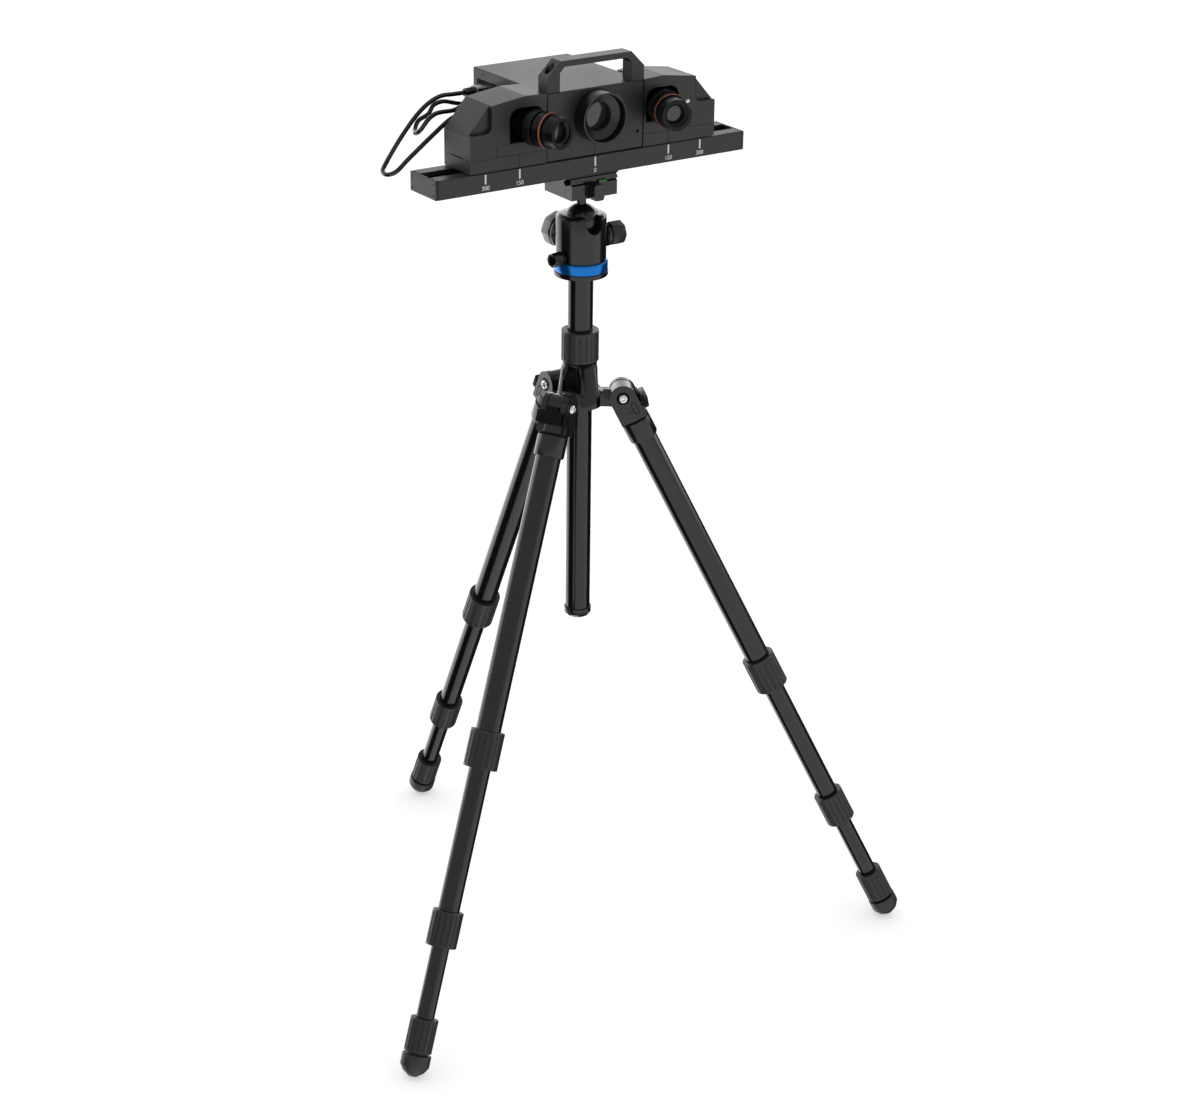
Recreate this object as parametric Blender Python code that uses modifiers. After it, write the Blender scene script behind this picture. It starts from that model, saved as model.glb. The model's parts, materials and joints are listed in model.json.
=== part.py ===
# Structured light 3D scanner: two cameras and a projector on a scale rail,
# carried by a ball head on a three-legged stand. Metres, +Z up, front is -Y.
import math

import bmesh
import bpy
from mathutils import Matrix, Vector

for old in list(bpy.data.objects):
    bpy.data.objects.remove(old, do_unlink=True)

# Fits and mesh fineness
GAP = 0.0003
OVERRUN = 0.002
MERGE = 0.00005
ROUND_STEPS = 32
FINE_STEPS = 24
TUBE_STEPS = 20
SMALL_STEPS = 12

# Stand
LEG_SPLAY = math.radians(26.57)
LEG_TURN = math.radians(-1.5)
LEG_COUNT = 3
PIVOT_RADIUS = 0.048
TUBE_WALL = 0.0012
UPPER_TUBE_RADIUS = 0.0142
MID_TUBE_RADIUS = 0.0122
LOWER_TUBE_RADIUS = 0.0103
MID_TUBE_LENGTH = 0.300
LOWER_TUBE_LENGTH = 0.260
UPPER_TUBE_SHOWN = 0.310
MID_TUBE_SHOWN = 0.1611
LOWER_TUBE_SHOWN = 0.0812
UPPER_LOCK_LENGTH = 0.0425
UPPER_LOCK_RADIUS = 0.0193
LOWER_LOCK_LENGTH = 0.040
LOWER_LOCK_RADIUS = 0.0175
FOOT_COLLAR_LENGTH = 0.0377
FOOT_COLLAR_RADIUS = 0.0158
FOOT_NECK_LENGTH = 0.003
FOOT_NECK_RADIUS = 0.0117
FOOT_DISC_LENGTH = 0.013
FOOT_DISC_RADIUS = 0.0165
FOOT_TIP_LENGTH = 0.0115
FOOT_TIP_RADIUS = 0.005
FOOT_TOE_RADIUS = 0.0125
FOOT_SOCKET_DEPTH = 0.0147
RIB_DEPTH = 0.0009
RIB_COUNT = 14
COLLAR_RIM = 0.0035

# Leg top casting and hinge
SLEEVE_RADIUS = 0.0165
SLEEVE_END = 0.056
SLEEVE_RIM = 0.004
SLEEVE_TOP = 0.018
SLEEVE_WEB = 0.004
CHEEK_RADIUS = 0.0152
CHEEK_WIDTH = 0.031
CHEEK_DROP = 0.030
TONGUE_WIDTH = 0.0174
TONGUE_RADIUS = 0.012
ARM_RISE = 0.006
ARM_ROOT = 0.016
FORK_FLOOR = 0.0165
BOLT_RADIUS = 0.004
BOLT_HEAD_RADIUS = 0.0054
BOLT_HEAD_HEIGHT = 0.003
STOP_BAR_WIDTH = 0.0165
STOP_BAR_START = 0.0125
STOP_BAR_TOP = 0.008
STOP_BAR_BOTTOM = 0.014
STOP_GRIP_WIDTH = 0.029
STOP_GRIP_THICK = 0.006
STOP_GRIP_TOP = 0.010
STOP_GRIP_BOTTOM = 0.030

# Shoulder, heights from the hinge plane
HUB_BOTTOM = 0.011
HUB_RING_RADIUS = 0.0252
HUB_RING_TOP = 0.004
HUB_FOOT_RADIUS = 0.0245
HUB_NECK_RADIUS = 0.0203
HUB_CONE_TOP = 0.036
HUB_THROAT_RADIUS = 0.0190
HUB_TOP = 0.0417
HUB_SLEEVE_RADIUS = 0.0168
HUB_SLEEVE_TOP = 0.0652
COLUMN_COLLAR_RADIUS = 0.0211
COLUMN_COLLAR_LENGTH = 0.035

# Centre column
COLUMN_RADIUS = 0.014
COLUMN_WALL = 0.0015
COLUMN_RISE = 0.141
COLUMN_DROP = 0.259
PLATFORM_RADIUS = 0.0302
PLATFORM_THICK = 0.0055
CAP_RADIUS = 0.0155
CAP_THICK = 0.010
CAP_PLUG = 0.014
HOOK_WIRE = 0.0009
HOOK_REACH = 0.006
HOOK_HEIGHT = 0.010

# Ball head
PAN_RING_RADIUS = 0.0297
PAN_RING_HEIGHT = 0.0117
HOUSING_RADIUS = 0.0278
HOUSING_HEIGHT = 0.0522
HOUSING_CHAMFER = 0.0035
BALL_RADIUS = 0.020
BALL_SINK = 0.009
NECK_RADIUS = 0.0052
BALL_TO_CLAMP = 0.0314
NOTCH_RADIUS = 0.010
KNOB_HOLE_RADIUS = 0.0042
KNOB_STEM_DEPTH = 0.0055
MAIN_KNOB_RADIUS = 0.0185
MAIN_KNOB_LENGTH = 0.0155
MAIN_FLANGE_LENGTH = 0.0075
MAIN_KNOB_DROP = 0.021
FRICTION_KNOB_RADIUS = 0.012
FRICTION_KNOB_LENGTH = 0.0155
FRICTION_FLANGE_LENGTH = 0.0075
PAN_KNOB_RADIUS = 0.007
PAN_KNOB_LENGTH = 0.0115
PAN_KNOB_STAND = 0.003
PAN_KNOB_RISE = 0.0065
PAN_KNOB_TURN = math.radians(192)
FACET_DEPTH = 0.0009
FACET_COUNT = 8

# Quick release clamp
CLAMP_HALF_LENGTH = 0.0295
CLAMP_BACK = 0.028
CLAMP_SPLIT = 0.0125
JAW_FRONT = 0.0252
CLAMP_FLOOR = 0.0157
LIP_TOP = 0.0215
PLATE_HALF_LENGTH = 0.0345
PLATE_THICK = 0.0094
PLATE_FOOT = 0.019
PLATE_FOOT_TOP = 0.0015
PLATE_WAIST = 0.016
PLATE_WAIST_HEIGHT = 0.0045
PLATE_FLANGE = 0.0205
PLATE_FLANGE_LOW = 0.006
LIP_GROOVE = 0.0014
JAW_SHOULDER = 0.0225
CLAMP_KNOB_LENGTH = 0.0095
CLAMP_KNOB_HALF_WIDTH = 0.0064
CLAMP_KNOB_HALF_HEIGHT = 0.009
CLAMP_KNOB_CORNER = 0.003
CLAMP_KNOB_RISE = 0.0075
CLAMP_SCREW_RADIUS = 0.003
CLAMP_SCREW_REACH = 0.010
VIAL_RADIUS = 0.0022
VIAL_LENGTH = 0.010
VIAL_PLACE = 0.0105
VIAL_SETBACK = 0.0018
VIAL_LIFT = 0.0013

# Scale rail
RAIL_LENGTH = 0.3934
RAIL_WIDTH = 0.052
RAIL_HEIGHT = 0.0212
RAIL_CHAMFER = 0.0008
SLOT_HALF_WIDTH = 0.0105
SLOT_LIP = 0.0045
SLOT_HALF_SPREAD = 0.0145
SLOT_DEPTH = 0.0105
RAIL_END_THICK = 0.003
MODULE_LIFT = 0.0008

# Camera modules, distances from the middle of the rail
CAMERA_INNER = 0.0627
CAMERA_OUTER = 0.1580
CAMERA_SHOULDER = 0.1310
CAMERA_CREST = 0.0890
CAMERA_SHOULDER_HEIGHT = 0.0705
CAMERA_CREST_HEIGHT = 0.0762
CAMERA_INNER_HEIGHT = 0.0752
CAMERA_SIDE_HEIGHT = 0.0400
CAMERA_BACK = 0.0255
CAMERA_WALL = 0.003
CARRIAGE_HEIGHT = 0.0145
CAMERA_INDEX = 0.0965
RECESS_DEPTH = 0.0045
RECESS_FLOOR_HEIGHT = 0.0415
RECESS_CORNER = 0.007
PORT_INNER = 0.0660
PORT_OUTER = 0.1090
PORT_BOTTOM = 0.0274
PORT_TOP = 0.0640
PORT_CORNER = 0.012
KEY_HALF_LENGTH = 0.030
KEY_CLEARANCE = 0.0005
PEDESTAL_HALF = 0.009

# Camera lenses, along the lens axis from the modules' front plane
LENS_PLACE = 0.08595
LENS_HEIGHT = 0.0438
LENS_TOE_IN = math.radians(15.4)
SENSOR_BACK = 0.038
SENSOR_FRONT = 0.014
SENSOR_HALF = 0.0142
BARREL_ROOT_RADIUS = 0.0158
BARREL_ROOT_END = 0.0045
BARREL_RADIUS = 0.0193
BARREL_SHOULDER = 0.0080
BARREL_GROOVE_START = 0.0180
BARREL_GROOVE_END = 0.0200
BARREL_GROOVE_DEPTH = 0.0012
BARREL_END = 0.0290
BARREL_CORE_RADIUS = 0.0140
BARREL_CORE_END = 0.0465
GLASS_SEAT = 0.0380
GLASS_BORE = 0.0100
LENS_MOUTH = 0.0122
RING_LENGTH = 0.0032
RING_RADIUS = 0.0190
FOCUS_RADIUS = 0.0170
FOCUS_END = 0.0485
FOCUS_MOUTH = 0.0127
FOCUS_LIP = 0.0016
GLASS_THICK = 0.0024
GLASS_CROWN = 0.0008
LOCK_SCREW_RADIUS = 0.0014
LOCK_SCREW_REACH = 0.0045

# Projector case, hood and handle
CASE_HALF_WIDTH = 0.062
CASE_BACK = 0.122
CASE_HEIGHT = 0.0745
CASE_WALL = 0.003
CASE_TAIL_LIFT = 0.010
CASE_CORNER = 0.0010
HOOD_HEIGHT = 0.0440
HOOD_RADIUS = 0.0277
HOOD_LENGTH = 0.0182
HOOD_MOUTH = 0.0258
HOOD_MOUTH_DEPTH = 0.0095
HOOD_THROAT = 0.0158
HOOD_THROAT_DEPTH = 0.0125
HOOD_NECK_RADIUS = 0.0245
HOOD_NECK_DEPTH = 0.0085
PROJECTOR_GLASS_DEPTH = 0.0205
PROJECTOR_GLASS_THICK = 0.0030
PROJECTOR_BORE = 0.0135
HANDLE_RISE = 0.0325
HANDLE_BEVEL = 0.0167
HANDLE_LEG = 0.0158
HANDLE_BAR = 0.0066
HANDLE_INNER_BEVEL = 0.0058
HANDLE_DEPTH = 0.0176
HANDLE_HOLE_RADIUS = 0.0052
HANDLE_HOLE_FLOOR = 0.006
PEEPHOLE_PLACE = 0.0545
PEEPHOLE_HEIGHT = 0.0195
PEEPHOLE_RADIUS = 0.0022

# Leads on the left side; routes are chosen by hand, from the axis and the rail's top
LEAD_RADIUS = 0.0025
PLUG_SHELL = (0.012, 0.0115, 0.0065)
PLUG_BODY = (0.013, 0.0150, 0.0100)
PLUG_TAIL_RADIUS = 0.0042
PLUG_TAIL_LENGTH = 0.012
PLUG_PLACE = (0.080, 0.0590)
GLAND_RADIUS = 0.0042
GLAND_LENGTH = 0.006
LEAD_STEP = 0.0065
LEAD_STUB = 0.005
LONG_GLAND = (0.135, 0.047)
SHORT_GLAND = (0.118, 0.060)
CASE_GLAND = (0.100, 0.042)
LONG_ROUTE = (
    (-0.1140, 0.0796, 0.0592),
    (-0.1315, 0.0760, 0.0602),
    (-0.1486, 0.0721, 0.0556),
    (-0.1639, 0.0701, 0.0458),
    (-0.1781, 0.0695, 0.0316),
    (-0.1910, 0.0695, 0.0160),
    (-0.2023, 0.0717, -0.0019),
    (-0.2102, 0.0657, -0.0084),
    (-0.2112, 0.0544, -0.0097),
    (-0.2045, 0.0463, -0.0051),
    (-0.1904, 0.0459, 0.0060),
    (-0.1693, 0.0446, 0.0222),
    (-0.1549, 0.0457, 0.0316),
    (-0.1424, 0.0462, 0.0396),
    (-0.1371, 0.0423, 0.0446),
)
SHORT_ROUTE = (
    (-0.0889, 0.0980, 0.0420),
    (-0.1062, 0.0878, 0.0469),
    (-0.1252, 0.0807, 0.0527),
    (-0.1400, 0.0764, 0.0514),
    (-0.1493, 0.0720, 0.0439),
    (-0.1612, 0.0729, 0.0380),
    (-0.1694, 0.0666, 0.0309),
    (-0.1754, 0.0550, 0.0298),
    (-0.1748, 0.0449, 0.0363),
    (-0.1667, 0.0417, 0.0474),
    (-0.1537, 0.0452, 0.0513),
    (-0.1316, 0.0484, 0.0508),
    (-0.1212, 0.0436, 0.0569),
)

# Heights that follow from the sizes above
UPPER_LOCK_TOP = SLEEVE_END + UPPER_TUBE_SHOWN
LOWER_LOCK_TOP = UPPER_LOCK_TOP + UPPER_LOCK_LENGTH + MID_TUBE_SHOWN
FOOT_TOP = LOWER_LOCK_TOP + LOWER_LOCK_LENGTH + LOWER_TUBE_SHOWN
LEG_LENGTH = (
    FOOT_TOP + FOOT_COLLAR_LENGTH + FOOT_NECK_LENGTH + FOOT_DISC_LENGTH + FOOT_TIP_LENGTH
)
PIVOT_HEIGHT = LEG_LENGTH * math.cos(LEG_SPLAY) + FOOT_TIP_RADIUS * math.sin(LEG_SPLAY)
PLATFORM_BOTTOM = PIVOT_HEIGHT + COLUMN_RISE
PAN_BOTTOM = PLATFORM_BOTTOM + PLATFORM_THICK + GAP
HOUSING_BOTTOM = PAN_BOTTOM + PAN_RING_HEIGHT + GAP
HOUSING_TOP = HOUSING_BOTTOM + HOUSING_HEIGHT
BALL_CENTRE = HOUSING_TOP - BALL_SINK
CLAMP_BOTTOM = BALL_CENTRE + BALL_TO_CLAMP
PLATE_BOTTOM = CLAMP_BOTTOM + CLAMP_FLOOR + GAP
RAIL_BOTTOM = PLATE_BOTTOM + PLATE_THICK + GAP
RAIL_TOP = RAIL_BOTTOM + RAIL_HEIGHT
MODULE_FRONT = -RAIL_WIDTH / 2

PLUG_END = CASE_HALF_WIDTH + GAP + PLUG_SHELL[0] + PLUG_BODY[0] + PLUG_TAIL_LENGTH
GLAND_END = GLAND_LENGTH + GAP
LONG_LEAD = (
    (-PLUG_END - GAP, *PLUG_PLACE),
    (-PLUG_END - GAP - LEAD_STUB, *PLUG_PLACE),
    *LONG_ROUTE,
    (-LONG_GLAND[0], CAMERA_BACK + GLAND_END + LEAD_STUB, LONG_GLAND[1]),
    (-LONG_GLAND[0], CAMERA_BACK + GLAND_END, LONG_GLAND[1]),
)
SHORT_LEAD = (
    (-CASE_HALF_WIDTH - GLAND_END, *CASE_GLAND),
    (-CASE_HALF_WIDTH - GLAND_END - LEAD_STUB, *CASE_GLAND),
    *SHORT_ROUTE,
    (-SHORT_GLAND[0], CAMERA_BACK + GLAND_END + LEAD_STUB, SHORT_GLAND[1]),
    (-SHORT_GLAND[0], CAMERA_BACK + GLAND_END, SHORT_GLAND[1]),
)

scanner_parts = bpy.data.collections.new("tripod_3d_scanner")
cutter_shapes = bpy.data.collections.new("cutters")
bpy.context.scene.collection.children.link(scanner_parts)
bpy.context.scene.collection.children.link(cutter_shapes)


def finish(name, colour, roughness, metallic):
    material = bpy.data.materials.new(name)
    material.use_nodes = True
    shader = material.node_tree.nodes["Principled BSDF"]
    shader.inputs["Base Color"].default_value = (*colour, 1)
    shader.inputs["Roughness"].default_value = roughness
    shader.inputs["Metallic"].default_value = metallic
    material.diffuse_color = (*colour, 1)
    return material


ANODISED = finish("black_anodised", (0.035, 0.035, 0.036), 0.42, 0.6)
CASE_GREY = finish("grained_case", (0.055, 0.055, 0.056), 0.5, 0.4)
STAND_BLACK = finish("satin_stand", (0.02, 0.02, 0.021), 0.28, 0.5)
GRIP_RUBBER = finish("grip_rubber", (0.018, 0.018, 0.018), 0.75, 0.0)
STEEL = finish("bright_steel", (0.75, 0.75, 0.76), 0.2, 1.0)
BLUE = finish("blue_anodised", (0.02, 0.28, 0.70), 0.3, 0.8)
GLASS = finish("coated_glass", (0.05, 0.05, 0.055), 0.08, 0.0)
GREEN = finish("level_green", (0.02, 0.35, 0.03), 0.2, 0.0)
LEAD_BLACK = finish("lead_jacket", (0.015, 0.015, 0.015), 0.5, 0.0)


def empty(name, parent, matrix):
    holder = bpy.data.objects.new(name, None)
    scanner_parts.objects.link(holder)
    holder.parent = parent
    holder.matrix_local = matrix
    return holder


def place(shape, name, parent, material):
    shape.name = name
    shape.parent = parent
    for group in list(shape.users_collection):
        group.objects.unlink(shape)
    scanner_parts.objects.link(shape)
    shape.data.materials.clear()
    shape.data.materials.append(material)
    for step in shape.modifiers:
        if step.type == "BOOLEAN":
            step.object.parent = parent
    shape.data.shade_smooth()
    shape.data.set_sharp_from_angle(angle=math.radians(35))
    return shape


def hide_cutter(shape, parent):
    shape.parent = parent
    shape.hide_render = True
    shape.display_type = "WIRE"
    for group in list(shape.users_collection):
        group.objects.unlink(shape)
    cutter_shapes.objects.link(shape)
    return shape


def combine(shape, other, operation):
    hide_cutter(other, shape.parent)
    step = shape.modifiers.new(operation.lower(), "BOOLEAN")
    step.operation = operation
    step.solver = "EXACT"
    step.object = other
    return shape


def cut(shape, other):
    return combine(shape, other, "DIFFERENCE")


def join(shape, other):
    return combine(shape, other, "UNION")


def box(low, high, bevel=0):
    size = Vector(high) - Vector(low)
    middle = (Vector(high) + Vector(low)) / 2
    bpy.ops.mesh.primitive_cube_add(size=1)
    shape = bpy.context.active_object
    shape.data.transform(Matrix.Translation(middle) @ Matrix.Diagonal((*size, 1)))
    if bevel:
        add_bevel(shape, bevel)
    return shape


def add_bevel(shape, width, segments=1):
    edge = shape.modifiers.new("edges", "BEVEL")
    edge.width = width
    edge.segments = segments
    edge.limit_method = "ANGLE"
    return edge


def lathe(profile, matrix=None, steps=FINE_STEPS, closed=False):
    """Turned shape from (radius, height) points, down the outer side first."""
    mesh = bpy.data.meshes.new("profile")
    edges = [(i, i + 1) for i in range(len(profile) - 1)]
    if closed:
        edges.append((len(profile) - 1, 0))
    mesh.from_pydata([(radius, 0, height) for radius, height in profile], edges, [])
    shape = bpy.data.objects.new("turned", mesh)
    bpy.context.scene.collection.objects.link(shape)
    turn = shape.modifiers.new("turn", "SCREW")
    turn.steps = steps
    turn.render_steps = steps
    turn.use_merge_vertices = True
    turn.merge_threshold = MERGE
    return bake(shape, matrix)


def bake(shape, matrix=None):
    """Replace a curve or a modified mesh by its evaluated mesh."""
    bpy.context.view_layer.update()
    graph = bpy.context.evaluated_depsgraph_get()
    mesh = bpy.data.meshes.new_from_object(shape.evaluated_get(graph))
    edit = bmesh.new()
    edit.from_mesh(mesh)
    bmesh.ops.remove_doubles(edit, verts=edit.verts, dist=MERGE / 5)
    edit.to_mesh(mesh)
    edit.free()
    if matrix is not None:
        mesh.transform(matrix)
    solid = bpy.data.objects.new("solid", mesh)
    bpy.context.scene.collection.objects.link(solid)
    bpy.data.objects.remove(shape, do_unlink=True)
    return solid


def outline(loops, low, high, matrix=None):
    """Flat outline in the local XY plane, thick from low to high along local Z."""
    curve = bpy.data.curves.new("outline", "CURVE")
    curve.dimensions = "2D"
    curve.fill_mode = "BOTH"
    curve.extrude = (high - low) / 2
    for loop in loops:
        spline = curve.splines.new("POLY")
        spline.points.add(len(loop) - 1)
        for point, (x, y) in zip(spline.points, loop):
            point.co = (x, y, 0, 1)
        spline.use_cyclic_u = True
    shape = bpy.data.objects.new("outline", curve)
    bpy.context.scene.collection.objects.link(shape)
    lift = Matrix.Translation((0, 0, (high + low) / 2))
    return bake(shape, lift if matrix is None else matrix @ lift)


# An outline drawn as seen from the front, thick along +Y
FRONT_VIEW = Matrix(((1, 0, 0, 0), (0, 0, -1, 0), (0, 1, 0, 0), (0, 0, 0, 1)))
# An outline drawn as (y, z), thick along X
SIDE_VIEW = Matrix(((0, 0, 1, 0), (1, 0, 0, 0), (0, 1, 0, 0), (0, 0, 0, 1)))


def arc(centre, radius, start, end, count):
    points = []
    for index in range(count + 1):
        angle = start + (end - start) * index / count
        points.append((centre[0] + radius * math.cos(angle), centre[1] + radius * math.sin(angle)))
    return points


def ribbed_loop(radius, depth, count):
    """Round outline with square grooves."""
    points = []
    pitch = 2 * math.pi / count
    for index in range(count):
        start = index * pitch
        for share, level in ((0.0, radius), (0.5, radius), (0.6, radius - depth), (0.9, radius - depth)):
            angle = start + share * pitch
            points.append((level * math.cos(angle), level * math.sin(angle)))
    return points


def rib_radii(radius):
    """Inside a faceted rim: the ribs' crest, their grooves and the core below them."""
    flat = radius * math.cos(math.pi / TUBE_STEPS)
    return flat - RIB_DEPTH / 8, flat - RIB_DEPTH * 5 / 8, flat - RIB_DEPTH * 3 / 4


def rib_band(radius, top, bottom, matrix=None):
    crest, groove, core = rib_radii(radius)
    inner = arc((0, 0), core - RIB_DEPTH, 0, 2 * math.pi, SMALL_STEPS)[:-1]
    loops = [ribbed_loop(crest, crest - groove, RIB_COUNT), inner]
    return outline(loops, bottom + COLLAR_RIM - RIB_DEPTH, top - COLLAR_RIM + RIB_DEPTH, matrix)


def ribbed_collar(radius, top, bottom, bores, matrix=None):
    """Twist collar: a stepped bore, plain rims and a ribbed band. bores are (radius, top)."""
    core = rib_radii(radius)[-1]
    profile = [(radius, top), (radius, top - COLLAR_RIM), (core, top - COLLAR_RIM)]
    profile += [(core, bottom + COLLAR_RIM), (radius, bottom + COLLAR_RIM), (radius, bottom)]
    level = bottom
    for bore, start in reversed(bores):
        profile += [(bore, level), (bore, start)]
        level = start
    shape = lathe(profile, matrix, TUBE_STEPS, closed=True)
    return join(shape, rib_band(radius, top, bottom, matrix))


def tube(outer, wall, top, bottom, matrix=None):
    inner = outer - wall
    profile = [(outer, top), (outer, bottom), (inner, bottom), (inner, top)]
    return lathe(profile, matrix, TUBE_STEPS, closed=True)


def cylinder(radius, low, high, matrix=None, steps=SMALL_STEPS):
    profile = [(0, high), (radius, high), (radius, low), (0, low)]
    return lathe(profile, matrix, steps)


# Axis holders
origin = empty("frame_origin", None, Matrix.Identity(4))
shoulder = empty("shoulder", origin, Matrix.Translation((0, 0, PIVOT_HEIGHT)))
column_axis = empty("column_axis", shoulder, Matrix.Identity(4))
pan_axis = empty("pan_axis", column_axis, Matrix.Translation((0, 0, HOUSING_BOTTOM - PIVOT_HEIGHT)))
ball_axis = empty("ball_axis", pan_axis, Matrix.Translation((0, 0, BALL_CENTRE - HOUSING_BOTTOM)))
rail_frame = empty("rail_frame", ball_axis, Matrix.Translation((0, 0, RAIL_TOP - BALL_CENTRE)))
clamp_frame = empty("clamp_frame", ball_axis, Matrix.Translation((0, 0, CLAMP_BOTTOM - BALL_CENTRE)))


def leg_direction(index):
    return LEG_TURN + math.radians(90) + 2 * math.pi * index / LEG_COUNT


def build_spider():
    profile = [
        (COLUMN_RADIUS + GAP, HUB_SLEEVE_TOP),
        (HUB_SLEEVE_RADIUS, HUB_SLEEVE_TOP),
        (HUB_SLEEVE_RADIUS, HUB_TOP),
        (HUB_THROAT_RADIUS, HUB_TOP),
        (HUB_THROAT_RADIUS, HUB_CONE_TOP),
        (HUB_NECK_RADIUS, HUB_CONE_TOP),
        (HUB_FOOT_RADIUS, HUB_RING_TOP),
        (HUB_RING_RADIUS, HUB_RING_TOP),
        (HUB_RING_RADIUS, -HUB_BOTTOM),
        (COLUMN_RADIUS + GAP, -HUB_BOTTOM),
    ]
    spider = place(lathe(profile, closed=True), "spider", shoulder, STAND_BLACK)
    reach = PIVOT_RADIUS
    loop = [(ARM_ROOT, -HUB_BOTTOM), (reach, -TONGUE_RADIUS)]
    loop += arc((reach, 0), TONGUE_RADIUS, -math.pi / 2, math.pi * 2 / 3, 12)[1:]
    loop += [(reach - TONGUE_RADIUS, ARM_RISE), (ARM_ROOT, ARM_RISE)]
    for index in range(LEG_COUNT):
        turn = Matrix.Rotation(leg_direction(index), 4, "Z")
        arm = outline([loop], -TONGUE_WIDTH / 2, TONGUE_WIDTH / 2, turn @ FRONT_VIEW)
        join(spider, arm)
    for index in range(LEG_COUNT):
        turn = Matrix.Rotation(leg_direction(index), 4, "Z")
        hole = Matrix.Translation((reach, 0, 0)) @ Matrix.Rotation(math.pi / 2, 4, "X")
        half = TONGUE_WIDTH / 2 + OVERRUN
        cut(spider, cylinder(BOLT_RADIUS + GAP, -half, half, turn @ hole))
    return spider


def build_leg(index):
    letter = "abc"[index]
    direction = leg_direction(index)
    seat = Matrix.Rotation(direction, 4, "Z") @ Matrix.Translation((PIVOT_RADIUS, 0, 0))
    leg = empty("leg_" + letter + "_axis", shoulder, seat @ Matrix.Rotation(-LEG_SPLAY, 4, "Y"))
    across = Matrix.Rotation(math.pi / 2, 4, "X")

    head_profile = [
        (0, -SLEEVE_TOP),
        (SLEEVE_RADIUS - RIB_DEPTH, -SLEEVE_TOP),
        (SLEEVE_RADIUS, -SLEEVE_TOP - RIB_DEPTH),
        (SLEEVE_RADIUS, -SLEEVE_END),
        (UPPER_TUBE_RADIUS + GAP, -SLEEVE_END),
        (UPPER_TUBE_RADIUS + GAP, -SLEEVE_TOP - SLEEVE_WEB),
        (0, -SLEEVE_TOP - SLEEVE_WEB),
    ]
    head = place(lathe(head_profile), "leg_head_" + letter, leg, STAND_BLACK)
    cheek = arc((0, 0), CHEEK_RADIUS, 0, math.pi, 12)
    cheek += [(-CHEEK_RADIUS, -CHEEK_DROP), (CHEEK_RADIUS, -CHEEK_DROP)]
    cheeks = outline([cheek], -CHEEK_WIDTH / 2, CHEEK_WIDTH / 2, FRONT_VIEW)
    bore_top = -SLEEVE_TOP - SLEEVE_WEB
    cut(cheeks, cylinder(UPPER_TUBE_RADIUS + GAP, -CHEEK_DROP - OVERRUN, bore_top, None, FINE_STEPS))
    join(head, bake(cheeks))
    half = TONGUE_WIDTH / 2 + GAP
    wide = CHEEK_RADIUS + OVERRUN
    cut(head, box((-wide, -half, -FORK_FLOOR), (wide, half, wide)))
    side = CHEEK_WIDTH / 2 + OVERRUN
    cut(head, cylinder(BOLT_RADIUS + GAP, -side, side, across))

    shank = CHEEK_WIDTH / 2 + GAP
    dome = BOLT_HEAD_RADIUS - BOLT_HEAD_HEIGHT / 2
    bolt_profile = [
        (0, shank + BOLT_HEAD_HEIGHT),
        (dome, shank + BOLT_HEAD_HEIGHT),
        (BOLT_HEAD_RADIUS, shank + BOLT_HEAD_HEIGHT / 2),
        (BOLT_HEAD_RADIUS, shank),
        (BOLT_RADIUS, shank),
        (BOLT_RADIUS, -shank),
        (BOLT_HEAD_RADIUS, -shank),
        (BOLT_HEAD_RADIUS, -shank - BOLT_HEAD_HEIGHT / 2),
        (dome, -shank - BOLT_HEAD_HEIGHT),
        (0, -shank - BOLT_HEAD_HEIGHT),
    ]
    bolt = lathe(bolt_profile, seat @ across, SMALL_STEPS)
    place(bolt, "hinge_bolt_" + letter, shoulder, STEEL)

    inner = SLEEVE_RADIUS + GAP
    grip = box(
        (inner, -STOP_GRIP_WIDTH / 2, -STOP_GRIP_BOTTOM),
        (inner + STOP_GRIP_THICK, STOP_GRIP_WIDTH / 2, -STOP_GRIP_TOP),
        STOP_GRIP_THICK / 6,
    )
    stop = place(bake(grip), "angle_stop_" + letter, leg, STAND_BLACK)
    bar = box(
        (STOP_BAR_START, -STOP_BAR_WIDTH / 2, -STOP_BAR_BOTTOM),
        (inner + STOP_GRIP_THICK / 2, STOP_BAR_WIDTH / 2, STOP_BAR_TOP),
    )
    join(stop, bar)

    upper_end = UPPER_LOCK_TOP + UPPER_LOCK_LENGTH * 0.44
    upper = tube(UPPER_TUBE_RADIUS, TUBE_WALL, bore_top - GAP, -upper_end)
    place(upper, "upper_tube_" + letter, leg, STAND_BLACK)
    bores = [
        (UPPER_TUBE_RADIUS + GAP, -UPPER_LOCK_TOP),
        (MID_TUBE_RADIUS + GAP, -upper_end - GAP),
    ]
    lock = ribbed_collar(
        UPPER_LOCK_RADIUS, -UPPER_LOCK_TOP, -UPPER_LOCK_TOP - UPPER_LOCK_LENGTH, bores
    )
    place(lock, "upper_lock_" + letter, leg, GRIP_RUBBER)

    mid_end = LOWER_LOCK_TOP + LOWER_LOCK_LENGTH * 0.44
    mid = tube(MID_TUBE_RADIUS, TUBE_WALL, MID_TUBE_LENGTH - mid_end, -mid_end)
    place(mid, "mid_tube_" + letter, leg, STAND_BLACK)
    bores = [
        (MID_TUBE_RADIUS + GAP, -LOWER_LOCK_TOP),
        (LOWER_TUBE_RADIUS + GAP, -mid_end - GAP),
    ]
    lock = ribbed_collar(
        LOWER_LOCK_RADIUS, -LOWER_LOCK_TOP, -LOWER_LOCK_TOP - LOWER_LOCK_LENGTH, bores
    )
    place(lock, "lower_lock_" + letter, leg, GRIP_RUBBER)

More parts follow.
